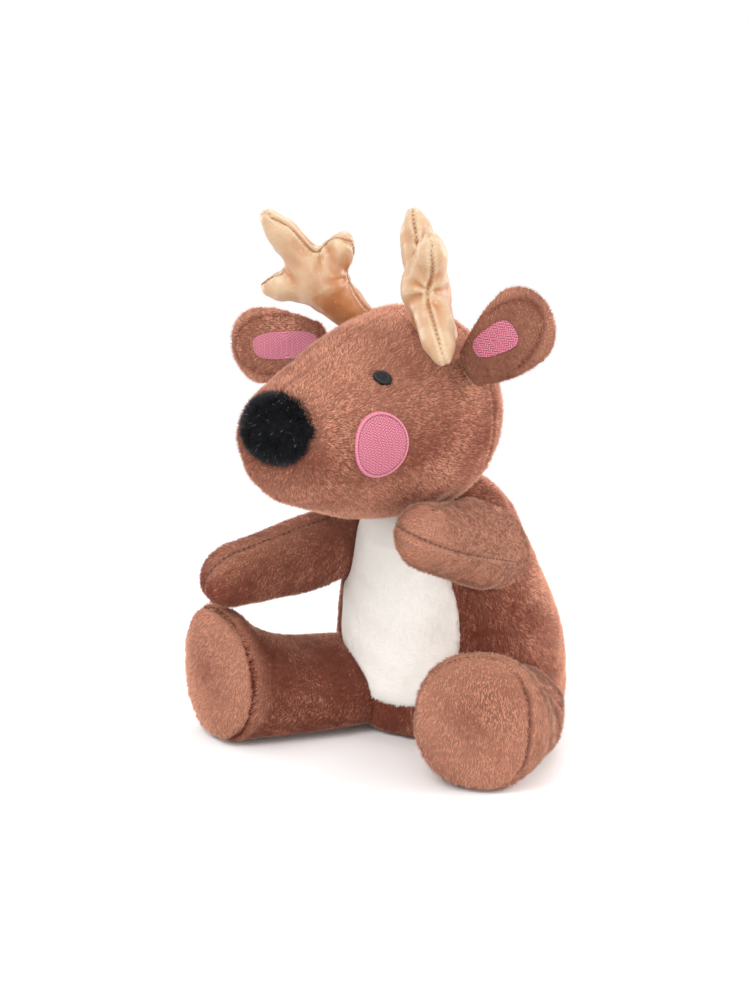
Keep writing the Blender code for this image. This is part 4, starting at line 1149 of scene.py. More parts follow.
class Patch:
    """An open grid that carries pile."""

    def __init__(self, points, normals):
        self.points = points
        self.normals = normals
        self.weight = np.ones(points.shape[:2])
        self.length = np.ones(points.shape[:2])
        self.tone = np.zeros(points.shape[:2])
        self.nap = np.zeros(points.shape)


def merge_doubles(thing, distance):
    shape = bmesh.new()
    shape.from_mesh(thing.data)
    bmesh.ops.remove_doubles(shape, verts=shape.verts, dist=distance)
    bmesh.ops.recalc_face_normals(shape, faces=shape.faces)
    shape.to_mesh(thing.data)
    shape.free()


# ---------------------------------------------------------------- head, nose, eyes and cheeks


def disc_on(form, place, outward, width, height, rings, turns, lift):
    """A disc laid on a form: ring r and turn a start at width/2 r cos a, height/2 r sin a of the patch's
    plane and move along its outward line until they lie on the form."""
    r = np.linspace(0, 1, rings)[:, None]
    turn = np.linspace(0, math.tau, turns + 1)[None, :]
    x = width / 2 * r * np.cos(turn)
    z = height / 2 * r * np.sin(turn)
    local = np.stack([x, 0 * x, z], axis=-1)
    points = place.out(local)
    outward = place.turn @ np.asarray(outward, float)
    for _ in range(14):
        points = points + outward * np.clip(form.depth(points), -0.004, 0.004)[..., None] * 0.8
    return points + outward * lift, x, z, r + 0 * x, turn + 0 * x


def patch_place(place, aim, sign):
    """The frame of a patch on the head: turned from the front towards its side, then lifted."""
    turn = turned("Z", aim[0] * sign) @ turned("X", -aim[1])
    return head_place.inside(turn, on_head(place, sign))


def embroidered(name, points, outward, threads_of, body, material, depth=0.0012):
    """Closed embroidery over a polar grid: the front stands out by its height, and a flat back lies under
    it. The UV map's U is the thread's tone."""
    height, share = threads_of
    front = points + outward * height[..., None]
    back = (points - outward * depth)[[-1, len(points) // 2, 0]]
    whole = np.concatenate([front, back])
    shares = np.concatenate([share, np.zeros_like(back[..., 0])])
    vertices, faces, sizes = closed_grid(whole)
    turns = points.shape[1] - 1
    flat = np.concatenate([shares[:1, 0], shares[1:-1, :-1].ravel(), shares[-1:, 0]])
    angle = np.linspace(0.02, 0.98, turns)
    around = np.concatenate([[0.5], np.tile(angle, whole.shape[0] - 2), [0.5]])
    uv = np.stack([flat * 0.96 + 0.02, around], axis=-1)[faces]
    thing = mesh_object(name, vertices, faces, sizes, body, material, uv)
    return thing


def threads(x, z, r, turn, pitch, slant, border, around, rise, ridge, crown):
    """Embroidery: rows of fill thread inside, and a satin border of radial threads that stands a little
    higher. A dome of the given crown lies under both. Returns the heights, and the tone of each thread,
    which is low in the gaps between threads and at the border's inner edge as painted shade."""
    run = (x * math.cos(math.radians(slant)) + z * math.sin(math.radians(slant))) / pitch
    across_run = (-x * math.sin(math.radians(slant)) + z * math.cos(math.radians(slant))) / (0.78 * pitch)
    run = run + 0.30 * np.sin(across_run * 0.37) + 0.12 * np.sin(across_run * 1.3 + run)
    column = np.floor(run)
    aside = run - column - 0.5
    odd = column % 2
    strands = np.abs(np.cos(math.pi * (across_run + (1 - 2 * odd) * 0.9 * aside + 0.5 * odd))) ** 0.9
    rows = strands * (1 - 0.5 * (2 * np.abs(aside)) ** 5)
    fill = ridge * rows
    satin = rise * np.sqrt(np.maximum(1 - ((r - border) / (1 - border) * 2 - 1) ** 2, 0.0))
    satin = satin * (0.86 + 0.14 * np.abs(np.cos(turn * around / 2)))
    ring = (r > border).astype(float)
    strand = np.abs(np.cos(turn * around / 2)) ** 0.6
    groove = 1 - np.exp(-(((r - border) / 0.022) ** 2))
    tone = ((0.05 + 0.95 * rows) * (1 - ring) + (0.35 + 0.65 * strand) * ring) * (0.35 + 0.65 * groove)
    return crown * (1 - r**2) + fill * (1 - ring) + (satin + ridge * 0.3) * ring, tone


def make_head():
    cloth = cloths()
    pile, _ = settings()
    shell = Shell("head", 210, 230)
    lumpy(shell, 200)
    shell.press(np.full(shell.t.shape, pile.length * 0.38))
    local = head_place.back(shell.points)
    x, y = local[..., 0], local[..., 1]
    seam_y = -head_back_seam_forward
    crest = np.abs(x) + np.where(y > seam_y, 1.0, 0.0)
    shell.press(seam(crest, y, 0.0005, 0.0009, 0.0034, 0.3))
    back_seam = np.abs(y - seam_y)
    shell.press(seam(back_seam, shell.turn * 0.045, 0.0012, 0.0013, 0.0036, 0.35))
    back_centre = np.abs(x) + np.where(y < seam_y, 1.0, 0.0)
    shell.press(seam(back_centre, local[..., 2], 0.0009, 0.0012, 0.0036, 0.3))
    bare = []
    for side, sign in sides.items():
        for kind, (place, aim, size) in {
            "eye": (eye_place, eye_aim, eye_size),
            "cheek": (cheek_place, cheek_aim, cheek_size),
        }.items():
            spot = eye_spot(side) if kind == "eye" else patch_place(place, aim, sign)
            flat = spot.back(shell.points)
            share = np.hypot(flat[..., 0] / (size[0] / 2), flat[..., 2] / (size[1] / 2))
            near = np.abs(flat[..., 1]) < 0.012
            bare.append(np.where(near, share, 9.0))
            dent = 0.0009 if kind == "eye" else 0.0004
            shell.press(dent * bump(np.where(near, share, 9.0) - 1.0, 0.35))
        shell.press(np.clip(forms[f"ear_{side}"].depth(shell.points) + 0.0006, 0, 0.006))
        shell.bare_where(forms[f"ear_{side}"].depth(shell.points), 0.0008, 0.003)
    nose = nose_place().back(shell.points)
    nose_share = np.hypot(nose[..., 0] / (nose_width / 2), nose[..., 2] / (nose_height / 2))
    nose_share = np.where(np.abs(nose[..., 1]) < 0.03, nose_share, 9.0)
    shell.press(0.0016 * bump(nose_share - 1.0, 0.10) + 0.002 * (1 - ramp(nose_share, 0.6, 0.95)))
    shell.settle()
    backwards = head_place.turn @ np.array([0.0, 1.0, -0.35])
    shell.lay(backwards)
    shell.weight *= ramp(nose_share, 0.93, 0.99)
    for share in bare:
        shell.weight *= ramp(share, 0.93, 1.0)
    opening = forms["torso"].depth(shell.points)
    shell.bare_where(opening, 0.0015, 0.005)
    shell.length = 0.72 + 0.28 * ramp(np.minimum(crest, back_seam), 0.0, 0.0022)
    shell.length *= 0.72 + 0.28 * ramp(np.minimum(*bare[:2]), 1.0, 1.5)
    # Painted light: the head's top is lighter where the light falls, and the chin and lower muzzle lighter as painted
    # fill light from below
    shell.tone = 0.37 + 0.40 * ramp(local[..., 2], 0.05, 0.10) + 0.46 * (1 - ramp(local[..., 2], 0.028, 0.054))
    head = shell_object("head_plush", shell, "head", cloth["brown_backing"])
    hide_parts("head_panel_left", "head_panel_right", "head_back_panel", "head_filling")
    style = brown_style(pieces=3)
    pile_object("head_pile", shell, style, "head", cloth["brown_pile"], 10)


def nose_place():
    turn = turned("X", -nose_tilt)
    spot = (0.0, -head_centre_forward - muzzle_length, nose_centre_height - neck_base_height)
    return head_place.inside(turn, spot)


def eye_spot(side):
    """The eye's frame: tipped down towards the back of the head. The far eye sits a little lower."""
    sign = sides[side]
    place = np.array(eye_place) + eye_shift[side]
    return patch_place(place, eye_aim, sign).inside(turned("Y", eye_roll * sign), (0.0, 0.0, 0.0))


def make_nose():
    """A soft dome: at share r of its radius it stands reach * (1 - r^2.5)^(1/2.1) before the muzzle, and its
    back closes inside the head."""
    cloth = cloths()
    pile, _ = settings()
    place = nose_place()
    r = np.concatenate([np.linspace(0, 1, 70) ** 0.8, np.linspace(1, 0, 8)[1:]])[:, None]
    front = (np.arange(77) < 70)[:, None]
    turn = np.linspace(0, math.tau, 121)[None, :]
    trim = pile.nose_length * 0.42
    reach = nose_reach + 0.0008 - trim
    deep = np.where(front, -reach * np.maximum(1 - r**2.5, 0) ** (1 / 2.1), 0.003)
    x = (nose_width / 2 - trim * 0.8) * r * np.cos(turn)
    z = (nose_height / 2 - trim * 0.8) * r * np.sin(turn)
    local = np.stack([x, deep + 0 * x, z], axis=-1)
    points = place.out(local)
    patch = Patch(points, grid_normals(points))
    away = patch.points - place.out(np.array([0.0, 0.004, 0.0]))
    flip = np.sign((patch.normals * away).sum(-1, keepdims=True))
    patch.normals = patch.normals * flip
    patch.points = patch.points + patch.normals * (0.0004 * waves(points, 0.008, 300))[..., None]
    vertices, faces, sizes = closed_grid(patch.points)
    nose = mesh_object("nose_plush", vertices, faces, sizes, "head", cloth["black_backing"])
    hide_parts("nose_panel")
    down = place.turn @ np.array([0.12, -0.1, -1.0])
    patch.nap = unit(down - patch.normals * (patch.normals @ down)[..., None])
    patch.weight = np.broadcast_to(np.where(front & (r < 0.995), 1.0, 0.0), x.shape).copy()
    patch.tone = np.full(x.shape, 0.35)
    style = brown_style(
        density=7.0,
        length=pile.nose_length,
        width=0.00052,
        lean=34.0,
        tuft=0.42,
        sway=1.1,
        stray=0.45,
        mottle=0.20,
        scatter=0.24,
        soft=0.45,
        flecks=0.009,
        pieces=1,
    )
    pile_object("nose_pile", patch, style, "head", cloth["black_pile"], 20)


def make_faces():
    cloth = cloths()
    head = forms["head"]
    for side, sign in sides.items():
        spot = eye_spot(side)
        points, x, z, r, turn = disc_on(head, spot, (0, -1, 0), *eye_size, 26, 132, -0.0006)
        height = threads(x, z, r, turn, 0.0008, 20.0 * sign, 0.55, 34, 0.0006, 0.00030, 0.0007)
        outward = spot.turn @ np.array([0.0, -1.0, 0.0])
        name = f"eye_{side}_thread"
        eye = embroidered(name, points, outward, height, "head", cloth["black_thread"])
        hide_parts(f"eye_{side}")
        spot = patch_place(cheek_place, cheek_aim, sign)
        points, x, z, r, turn = disc_on(head, spot, (0, -1, 0), *cheek_size, 96, 420, -0.0005)
        height = threads(x, z, r, turn, 0.00155, 8.0 * sign, 0.905, 66, 0.00055, 0.00046, 0.0006)
        outward = spot.turn @ np.array([0.0, -1.0, 0.0])
        name = f"cheek_{side}_thread"
        cheek = embroidered(name, points, outward, height, "head", cloth["pink_thread"])
        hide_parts(f"cheek_{side}")


# ---------------------------------------------------------------- ears


def make_ears():
    cloth = cloths()
    pile, _ = settings()
    for side, sign in sides.items():
        shell = Shell(f"ear_{side}", 110, 120)
        local = shell.form.place.back(shell.points)
        front = ramp(-local[..., 1] * sign, -0.001, 0.002)
        rim, rim_start = ear_rim(local, side)
        rim_seam = front * rim_start * bump((rim - 1) * ear_width / 2, 0.0010)
        shell.press(np.full(shell.t.shape, pile.length * 0.30))
        middle = (local[..., 0] / (ear_length * 0.62) - 0.62) ** 2 + (local[..., 2] / (ear_width * 0.42)) ** 2
        shell.press(0.0022 * front * np.exp(-middle * 1.3) + 0.0008 * rim_seam)
        lumpy(shell, 400 + int(sign), 0.5)
        shell.settle()
        outward = shell.form.place.turn @ np.array([1.0, 0.0, 0.0])
        spread = shell.form.place.turn @ np.array([0.0, 0.0, 1.0])
        shell.lay(outward + spread * (local[..., 2] / ear_width * 1.6)[..., None])
        tongue = tongue_share(local, side)
        tongue = np.where(-local[..., 1] * sign > 0, tongue, 9.0)
        shell.weight *= ramp(tongue, 0.93, 1.0)
        depth = forms["head"].depth(shell.points)
        shell.bare_where(depth, 0.0012, 0.004)
        # Painted shade and light: the dished front is darker as painted shade and its rolled rim paler as painted
        # highlight; the rim seam is a darker line
        shell.tone = 0.66 - 0.12 * front - 0.20 * rim_seam + 0.28 * front * rim_start * ramp(rim, 1.0, 1.2)
        shell.length = 0.8 + 0.2 * ramp(tongue, 1.0, 1.4)
        ear = shell_object(f"ear_{side}_plush", shell, f"ear_{side}", cloth["brown_backing"])
        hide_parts(f"ear_{side}_front", f"ear_{side}_back", f"ear_{side}_filling")
        style = brown_style(density=pile.density * 1.2, length=pile.length * 0.8, stray=0.16, pieces=1)
        name = f"ear_{side}_pile"
        pile_object(name, shell, style, f"ear_{side}", cloth["brown_pile"], 30 + int(sign))
        make_tongue(side, sign, shell)


def ear_rim(local, side):
    """The rolled rim of an ear's front: 1 on its seam, more beyond it. Also how far the seam has begun."""
    longer = ear_length + ear_extra[side]
    past = np.maximum(local[..., 0] / longer - 0.45, 0) / (0.55 - ear_rim_width / longer)
    begun = ramp(local[..., 0] / longer, *ear_rim_starts[side])
    return np.hypot(past, local[..., 2] / (ear_width / 2 - ear_rim_width)), begun


def tongue_share(local, side):
    """The lining's outline: a squarish oval, wider at its far end. 0 in its middle, 1 on its edge."""
    middle_of, half = tongue_span(side)
    along = (local[..., 0] - middle_of) / half
    widen, slide = tongue_widens[side], tongue_slides[side]
    width = ear_lining_width / 2 * np.maximum(1 + widen * along, 0.3)
    aside = (local[..., 2] - slide * half * (1 - along)) / width
    return (np.abs(along) ** (2 / tongue_power) + np.abs(aside) ** (2 / tongue_power)) ** (tongue_power / 2)


def tongue_span(side):
    """Where the pink lining's middle lies along the ear, and half its length."""
    return tongue_ends[side] - tongue_lengths[side] / 2, tongue_lengths[side] / 2


def make_tongue(side, sign, shell):
    """The pink lining: a long oval of thread rows laid on the ear's dished front."""
    cloth = cloths()
    middle_of, half = tongue_span(side)
    place = shell.form.place.inside(np.eye(3), (middle_of, 0.0, 0.0))
    r = np.linspace(0, 1, 70)[:, None]
    turn = np.linspace(0, math.tau, 301)[None, :]
    along = r * np.sign(np.cos(turn)) * np.abs(np.cos(turn)) ** tongue_power
    aside = r * np.sign(np.sin(turn)) * np.abs(np.sin(turn)) ** tongue_power
    x = half * along
    z = ear_lining_width / 2 * aside * (1 + tongue_widens[side] * along) + tongue_slides[side] * half * (1 - along)
    points = place.out(np.stack([x, 0 * x, z], axis=-1))
    outward = place.turn @ np.array([0.0, -sign, 0.0])
    for _ in range(14):
        points = points + outward * np.clip(shell.form.depth(points), -0.002, 0.002)[..., None] * 0.8
    local = shell.form.place.back(points)
    middle = (local[..., 0] / (ear_length * 0.62) - 0.62) ** 2 + (local[..., 2] / (ear_width * 0.42)) ** 2
    pile, _ = settings()
    sink = pile.length * 0.30 + 0.0022 * np.exp(-middle * 1.3) - 0.0003
    points = points - outward * sink[..., None]
    height = threads(x, z, r + 0 * x, turn + 0 * x, 0.0017, 0.0, 1.2, 60, 0.0, 0.00050, 0.0006)
    name = f"ear_{side}_tongue"
    tongue = embroidered(name, points, outward, height, f"ear_{side}", cloth["pink_thread"])
    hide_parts(f"ear_{side}_lining")


# ---------------------------------------------------------------- arms and legs


def stitches(name, centres, along, outward, length, radius, body, slot, material):
    """Sewing stitches: each is a short closed spindle that dips into the cloth at both ends. Its points are
    centre + along * s + outward * rise * (1 - s^2) + the ring of its radius * sqrt(1 - s^4)."""
    s = np.linspace(-1, 1, 7)
    turns = np.linspace(0, math.tau, 6)[:-1]
    aside = np.cross(along, outward)
    width = np.sqrt(np.maximum(1 - s**4, 0.0))
    path = (
        centres[:, None]
        + along[:, None] * (s * length / 2)[None, :, None]
        + outward[:, None] * (radius * 1.6 * (1 - s**2) - radius * 0.9)[None, :, None]
    )
    cosine, sine = (each[None, None, :, None] for each in (np.cos(turns), np.sin(turns)))
    ring = aside[:, None, None] * cosine + outward[:, None, None] * sine
    points = path[:, :, None] + ring * (radius * width)[None, :, None, None]
    count = len(centres)
    grid = np.arange(7 * 5).reshape(7, 5)
    right = np.roll(grid, -1, axis=1)
    quads = np.stack([grid[:-1], grid[1:], right[1:], right[:-1]], axis=-1).reshape(-1, 4)
    faces = (np.arange(count)[:, None, None] * 35 + quads).reshape(-1, 4)
    thing = mesh_object(
        name, points.reshape(-1, 3), faces.ravel(), np.full(len(faces), 4), body, material
    )
    merge_doubles(thing, 1e-7)
    return thing


def as_turned_head_sees(points, degrees):
    """World points turned back about the neck's upright axis by the angle that the head has turned."""
    angle = math.radians(degrees)
    cosine, sine = math.cos(angle), math.sin(angle)
    back = np.array([[cosine, sine, 0.0], [-sine, cosine, 0.0], [0.0, 0.0, 1.0]])
    return (points - neck_spot) @ back.T + neck_spot


def make_arms():
    cloth = cloths()
    pile, _ = settings()
    for side, sign in sides.items():
        key = f"arm_{side}"
        shell = Shell(key, 150, 150)
        form = shell.form
        lumpy(shell, 500 + int(sign), 0.8)
        shell.press(np.full(shell.t.shape, pile.length * 0.38))
        local = form.place.back(shell.points)
        roll = math.radians(arm_seam_roll[side])
        centred = local - np.interp(shell.t, form.t, form.c)[..., None] * form.upward
        across = centred @ (form.across * math.cos(roll) + form.upward * math.sin(roll))
        fade = 0.45 + 0.55 * ramp(shell.t, arm_length * 0.2, arm_length * 0.7)
        shell.press(seam(np.abs(across), shell.t, 0.0009, 0.0010, 0.0034, 0.3) * fade)
        for limit in joints["neck_turn"]["range_deg"]:
            reached = forms["head"].depth(as_turned_head_sees(shell.points, limit))
            shell.press(np.clip(reached + head_sweep_gap, 0, head_sweep_limit))
        shell.settle()
        toward = form.place.turn @ np.array([1.0, 0.0, -0.25])
        shell.lay(toward)
        shell.bare_where(forms["torso"].depth(shell.points), 0.011, 0.015)
        shell.length = 0.65 + 0.35 * ramp(np.abs(across), 0.0, 0.0022)
        shell.weight *= 0.45 + 0.55 * ramp(np.abs(across), 0.0002, 0.0012)
        # Painted light: the arm's tone, lighter on the lit arm and darker on the shaded one, plus a painted rim
        # highlight along its top and bottom
        shell.tone = arm_light_and_shade[side] + rim_highlight_tone * np.abs(np.sin(shell.turn)) ** 6
        arm = shell_object(f"{key}_plush", shell, key, cloth["brown_backing"])
        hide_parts(f"{key}_outer", f"{key}_inner", f"{key}_filling")
        style = brown_style(pieces=1)
        pile_object(f"{key}_pile", shell, style, key, cloth["brown_pile"], 40 + int(sign))
        seam_stitches(key, form, cloth["dark_stitch"])


def seam_stitches(key, form, material):
    """Stitches along the arm's edge seam, on its top, its tip and its underside."""
    pile, _ = settings()
    roll = math.radians(arm_seam_roll[key.split("_")[1]])
    upward = form.upward * math.cos(roll) - form.across * math.sin(roll)
    t = np.concatenate([form.t, form.t[::-1]])
    reach = 1 / np.hypot(math.cos(roll) / np.maximum(form.b, 1e-6), math.sin(roll) / np.maximum(form.a, 1e-6))
    b = np.concatenate([reach, -reach[::-1]])
    path = t[:, None] * form.axis + (b - np.sign(b) * 0.0010)[:, None] * upward
    path = path + np.concatenate([form.c, form.c[::-1]])[:, None] * form.upward
    run = np.concatenate([[0], np.cumsum(np.linalg.norm(np.diff(path, axis=0), axis=1))])
    at = np.arange(0.022, run[-1] - 0.022, 0.0026)
    centres = np.stack([np.interp(at, run, path[:, axis]) for axis in range(3)], axis=-1)
    ahead = np.stack([np.interp(at + 0.0008, run, path[:, axis]) for axis in range(3)], axis=-1)
    along = unit(ahead - centres)
    outward = unit(np.cross(np.cross(form.axis, upward), along))
    middle = centres - np.array([form.t.mean(), 0, 0])
    outward = outward * np.sign((outward * middle).sum(-1, keepdims=True))
    keep = forms["torso"].depth(form.place.out(centres)) < -0.001
    place = form.place
    stitches(
        f"{key}_stitches",
        place.out(centres)[keep],
        (along @ place.turn.T)[keep],
        (outward @ place.turn.T)[keep],
        0.0017,
        0.00021,
        key,
        "brown_plush",
        material,
    )


def make_legs():
    cloth = cloths()
    pile, _ = settings()
    for side, sign in sides.items():
        key = f"leg_{side}"
        shell = Shell(key, 190, 175)
        lumpy(shell, 600 + int(sign), 0.9)
        shell.press(np.full(shell.t.shape, pile.length * 0.38))
        t = shell.t
        form = shell.form
        run = np.concatenate([[0], np.cumsum(np.hypot(np.diff(form.t), np.diff((form.a + form.b) / 2)))])
        outward, inward = sole_seam_shifts[side]
        tilt = np.where(np.cos(shell.turn) > 0, outward, inward) * np.cos(shell.turn) ** 2
        beyond = np.interp(t, form.t, run) - np.interp(leg_length, form.t, run) - tilt
        ring_seam = np.abs(beyond)
        shell.press(seam(ring_seam, shell.turn * 0.029, 0.0021, 0.0013, 0.0050, 0.3))
        pucker = np.sin(shell.turn * 27 + 2 * np.sin(shell.turn * 3)) * 0.5 + 0.5
        shell.press(0.00035 * pucker * bump(ring_seam - 0.003, 0.003))
        under = np.sin(shell.turn) < 0
        below = np.abs(np.cos(shell.turn)) * 0.028 + np.where(under & (t < leg_length), 0.0, 1.0)
        shell.press(seam(below, t, 0.0009, 0.0012, 0.0036, 0.3))
        floor_gap = 0.0003
        shell.points[..., 2] = np.maximum(shell.points[..., 2], floor_gap)
        shell.settle()
        forward = shell.form.place.turn @ np.array([1.0, 0.0, 0.0])
        down = np.array([0.0, 0.0, -1.0])
        on_sole = ramp(beyond, -0.0003, 0.0008)[..., None]
        shell.lay(forward * (1 - on_sole) + down * (0.35 + 0.65 * on_sole))
        shell.bare_where(forms["torso"].depth(shell.points), 0.011, 0.015)
        shell.weight *= 0.15 + 0.85 * ramp(shell.points[..., 2], 0.0006, 0.0030)
        shell.length = 0.7 + 0.3 * ramp(ring_seam, 0.0, 0.0022)
        shell.length *= 0.4 + 0.6 * ramp(shell.points[..., 2], 0.0008, 0.004)
        # Painted light and shade: the leg's and sole's tones for the lit and shaded sides, a painted rim highlight
        # along the leg's top and bottom, a darker patch in the sole's upper middle, painted shadow in the ring seam's
        # groove, and a paler band just before the seam
        edges = rim_highlight_tone * np.abs(np.sin(shell.turn)) ** 6 * (1 - on_sole[..., 0])
        sole_middle = np.average(shell.points.reshape(-1, 3), axis=0, weights=on_sole.reshape(-1))
        from_mark = np.hypot(*np.moveaxis((shell.points - sole_middle)[..., [0, 2]] - sole_mark, -1, 0))
        sole_tone = sole_light_and_shade[side] + sole_edge_tone - sole_mark_tone * bump(from_mark, sole_mark_width)
        shell.tone = leg_light_and_shade[side] + (sole_tone - leg_light_and_shade[side]) * on_sole[..., 0] + edges
        shell.tone = shell.tone - 0.4 * bump(ring_seam, 0.0014) + 0.34 * bump(beyond + 0.0045, 0.0032)
        leg = shell_object(f"{key}_plush", shell, key, cloth["brown_backing"])
        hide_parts(f"{key}_cover", f"{key}_sole", f"{key}_filling")
        style = brown_style(pieces=1)
        pile_object(f"{key}_pile", shell, style, key, cloth["brown_pile"], 50 + int(sign))


# ---------------------------------------------------------------- antlers


def antler_frame(side):
    sign = sides[side]
    turn, lean = antler_aim[side]
    return head_place.inside(facing(turn, 0.0) @ turned("X", lean * sign), on_head(antler_place, sign))


def tine_lines(side):
    """Each tine's centre line and radii in the antler's plane. Every tine swells at its middle and narrows
    to a blunt point."""
    at = {key: np.array([u, 0.0, v]) * antler_span for key, (u, v) in antler_shares[side].items()}
    for key, bend in tine_bends[side].items():
        at[key] = at[key] + np.array(bend)
    palm = at["palm"]
    foot = np.array(root_bends[side])
    middle_radius = (antler_root_radius + antler_palm_radius) / 2
    root = [(foot - unit(palm) * 0.004, antler_root_radius * 0.95), (foot / 2 + palm * 0.5, middle_radius * 0.97)]
    lines = []
    for key in ("long", "short", "low"):
        if key == "long":
            rows = root + [(palm, antler_palm_radius * palm_swell[side])]
        else:
            rows = [(palm * 0.9, tine_base_radius)]
        swell = tine_swell[side]
        rows = rows + [(palm + (at[key] - palm) * share, radius * swell) for share, radius in tine_rows]
        tip = at[key] + unit(at[key] - palm) * (tine_tip_radius - tine_point_radius)
        rows = rows + [(tip, tine_point_radius)]
        points = np.array([row[0] for row in rows])
        radii = np.array([row[1] for row in rows])
        run = np.concatenate([[0], np.cumsum(np.linalg.norm(np.diff(points, axis=0), axis=1))])
        fine = np.linspace(0, run[-1], 42)
        path = np.stack([smooth_column(run, points[:, axis], fine) for axis in range(3)], axis=-1)
        lines.append((path, smooth_column(run, radii, fine)))
    return lines


def tine_tube(path, radii):
    """A round tube along a line, closed by half balls: centre + radius * (cos, sin) in the plane across."""
    first, last = unit(path[1] - path[0]), unit(path[-1] - path[-2])
    arc = np.linspace(0, math.pi / 2, 9)
    head = path[0] - first * (radii[0] * np.cos(arc))[:, None]
    tail = path[-1] + last * (radii[-1] * np.sin(arc))[:, None]
    centres = np.concatenate([head[:-1], path, tail[1:]])
    sizes = np.concatenate([radii[0] * np.sin(arc)[:-1], radii, radii[-1] * np.cos(arc)[1:]])
    along = unit(np.gradient(centres, axis=0))
    upward = unit(np.array([0.0, 1.0, 0.0]) - along * along[:, 1:2])
    across = np.cross(along, upward)
    turn = np.linspace(0, math.tau, 33)
    ring = across[:, None] * np.cos(turn)[None, :, None] + upward[:, None] * np.sin(turn)[None, :, None]
    return centres[:, None] + ring * sizes[:, None, None]


def antler_field(points, lines):
    """Distance outside the rounded union of the tines: -k log(sum of exp(-distance / k)), where each
    distance is to the nearest point of a tine's line less its radius there."""
    total = np.zeros(len(points))
    for path, radii in lines:
        total += np.exp(-tine_gaps(points, path, radii).min(axis=1) / tine_blend)
    return -tine_blend * np.log(np.maximum(total, 1e-300))


def tine_gaps(points, path, radii):
    """Each point's distance to every ball of a tine's line, from |p|^2 - 2 p.q + |q|^2."""
    squares = (points**2).sum(1)[:, None] - 2 * points @ path.T + (path**2).sum(1)[None]
    return np.sqrt(np.maximum(squares, 0.0)) - radii[None]


def tine_middles(points, lines):
    """The y of the tines' middle plane at each point: the nearest centre line's y, blended between tines."""
    total, height = np.zeros(len(points)), np.zeros(len(points))
    for path, radii in lines:
        gaps = tine_gaps(points, path, radii)
        nearest = gaps.argmin(axis=1)
        share = np.exp(-np.clip(gaps[np.arange(len(points)), nearest], -0.02, 0.02) / (2 * tine_blend))
        total += share
        height += share * path[nearest, 1]
    return height / total


def antler_slope(points, lines, step=0.0002):
    """The field's unit gradient by central differences."""
    slope = np.zeros_like(points)
    for axis in range(3):
        nudge = np.zeros(3)
        nudge[axis] = step
        slope[:, axis] = antler_field(points + nudge, lines) - antler_field(points - nudge, lines)
    return unit(slope)


def seam_side(normals, side):
    """How far the seam lies in front of the antler's middle plane, for the edge's outward direction."""
    reach, across, up = seam_tilts[side]
    flat = unit(normals * (1, 0, 1))
    return reach * (flat[..., 0] * across + flat[..., 2] * up)


def seam_outline(lines, start, side):
    """The antler's edge in its own plane, followed in short steps: each goes along the edge, then back to
    where the field is zero. Gives the points, and the edge's outward direction at each."""
    step = 0.0008
    here, trace, outward = np.array(start, float), [], []
    for _ in range(600):
        slope = antler_slope(here[None], lines)[0] * (1, 0, 1)
        here = here - unit(slope) * antler_field(here[None], lines)[0]
        here[1] = tine_middles(here[None], lines)[0] + seam_side(slope, side)
        trace.append(here)
        outward.append(unit(slope))
        if len(trace) > 20 and np.linalg.norm(here - trace[0]) < step:
            break
        here = here + step * np.array([outward[-1][2], 0.0, -outward[-1][0]])
    return np.array(trace), np.array(outward)


def crotches(outline, palm):
    """Where the edge comes nearest to the palm's middle between two tines."""
    reach = np.linalg.norm(outline - palm, axis=1)
    around = np.stack([np.roll(reach, shift) for shift in range(-14, 15)])
    return np.flatnonzero(reach <= around.min(axis=0) + 1e-9)


def stuffed_antler(name, lines):
    """One closed mesh of all the tines, from a voxel remesh of their tubes and one subdivision, drawn onto
    the field's zero."""
    points, corners, count = [], [], 0
    for path, radii in lines:
        vertices, faces, sizes = closed_grid(tine_tube(path, radii))
        starts = np.concatenate([[0], np.cumsum(sizes)])
        corners += [(faces[a:b] + count).tolist() for a, b in zip(starts[:-1], starts[1:])]
        points.append(vertices)
        count += len(vertices)
    mesh = bpy.data.meshes.new(name)
    mesh.from_pydata(np.concatenate(points).tolist(), [], corners)
    thing = bpy.data.objects.new(name, mesh)
    bpy.context.scene.collection.objects.link(thing)
    remesh = thing.modifiers.new("stuffed form", "REMESH")
    remesh.mode = "VOXEL"
    remesh.voxel_size = 0.0009
    finer = thing.modifiers.new("finer", "SUBSURF")
    finer.levels = finer.render_levels = 1
    graph = bpy.context.evaluated_depsgraph_get()
    graph.update()
    made = bpy.data.meshes.new_from_object(thing.evaluated_get(graph))
    thing.modifiers.clear()
    thing.data = made
    points = np.empty(len(made.vertices) * 3)
    made.vertices.foreach_get("co", points)
    points = points.reshape(-1, 3)
    for _ in range(3):
        slope = antler_slope(points, lines)
        points = points - slope * antler_field(points, lines)[:, None]
    return thing, points, antler_slope(points, lines)


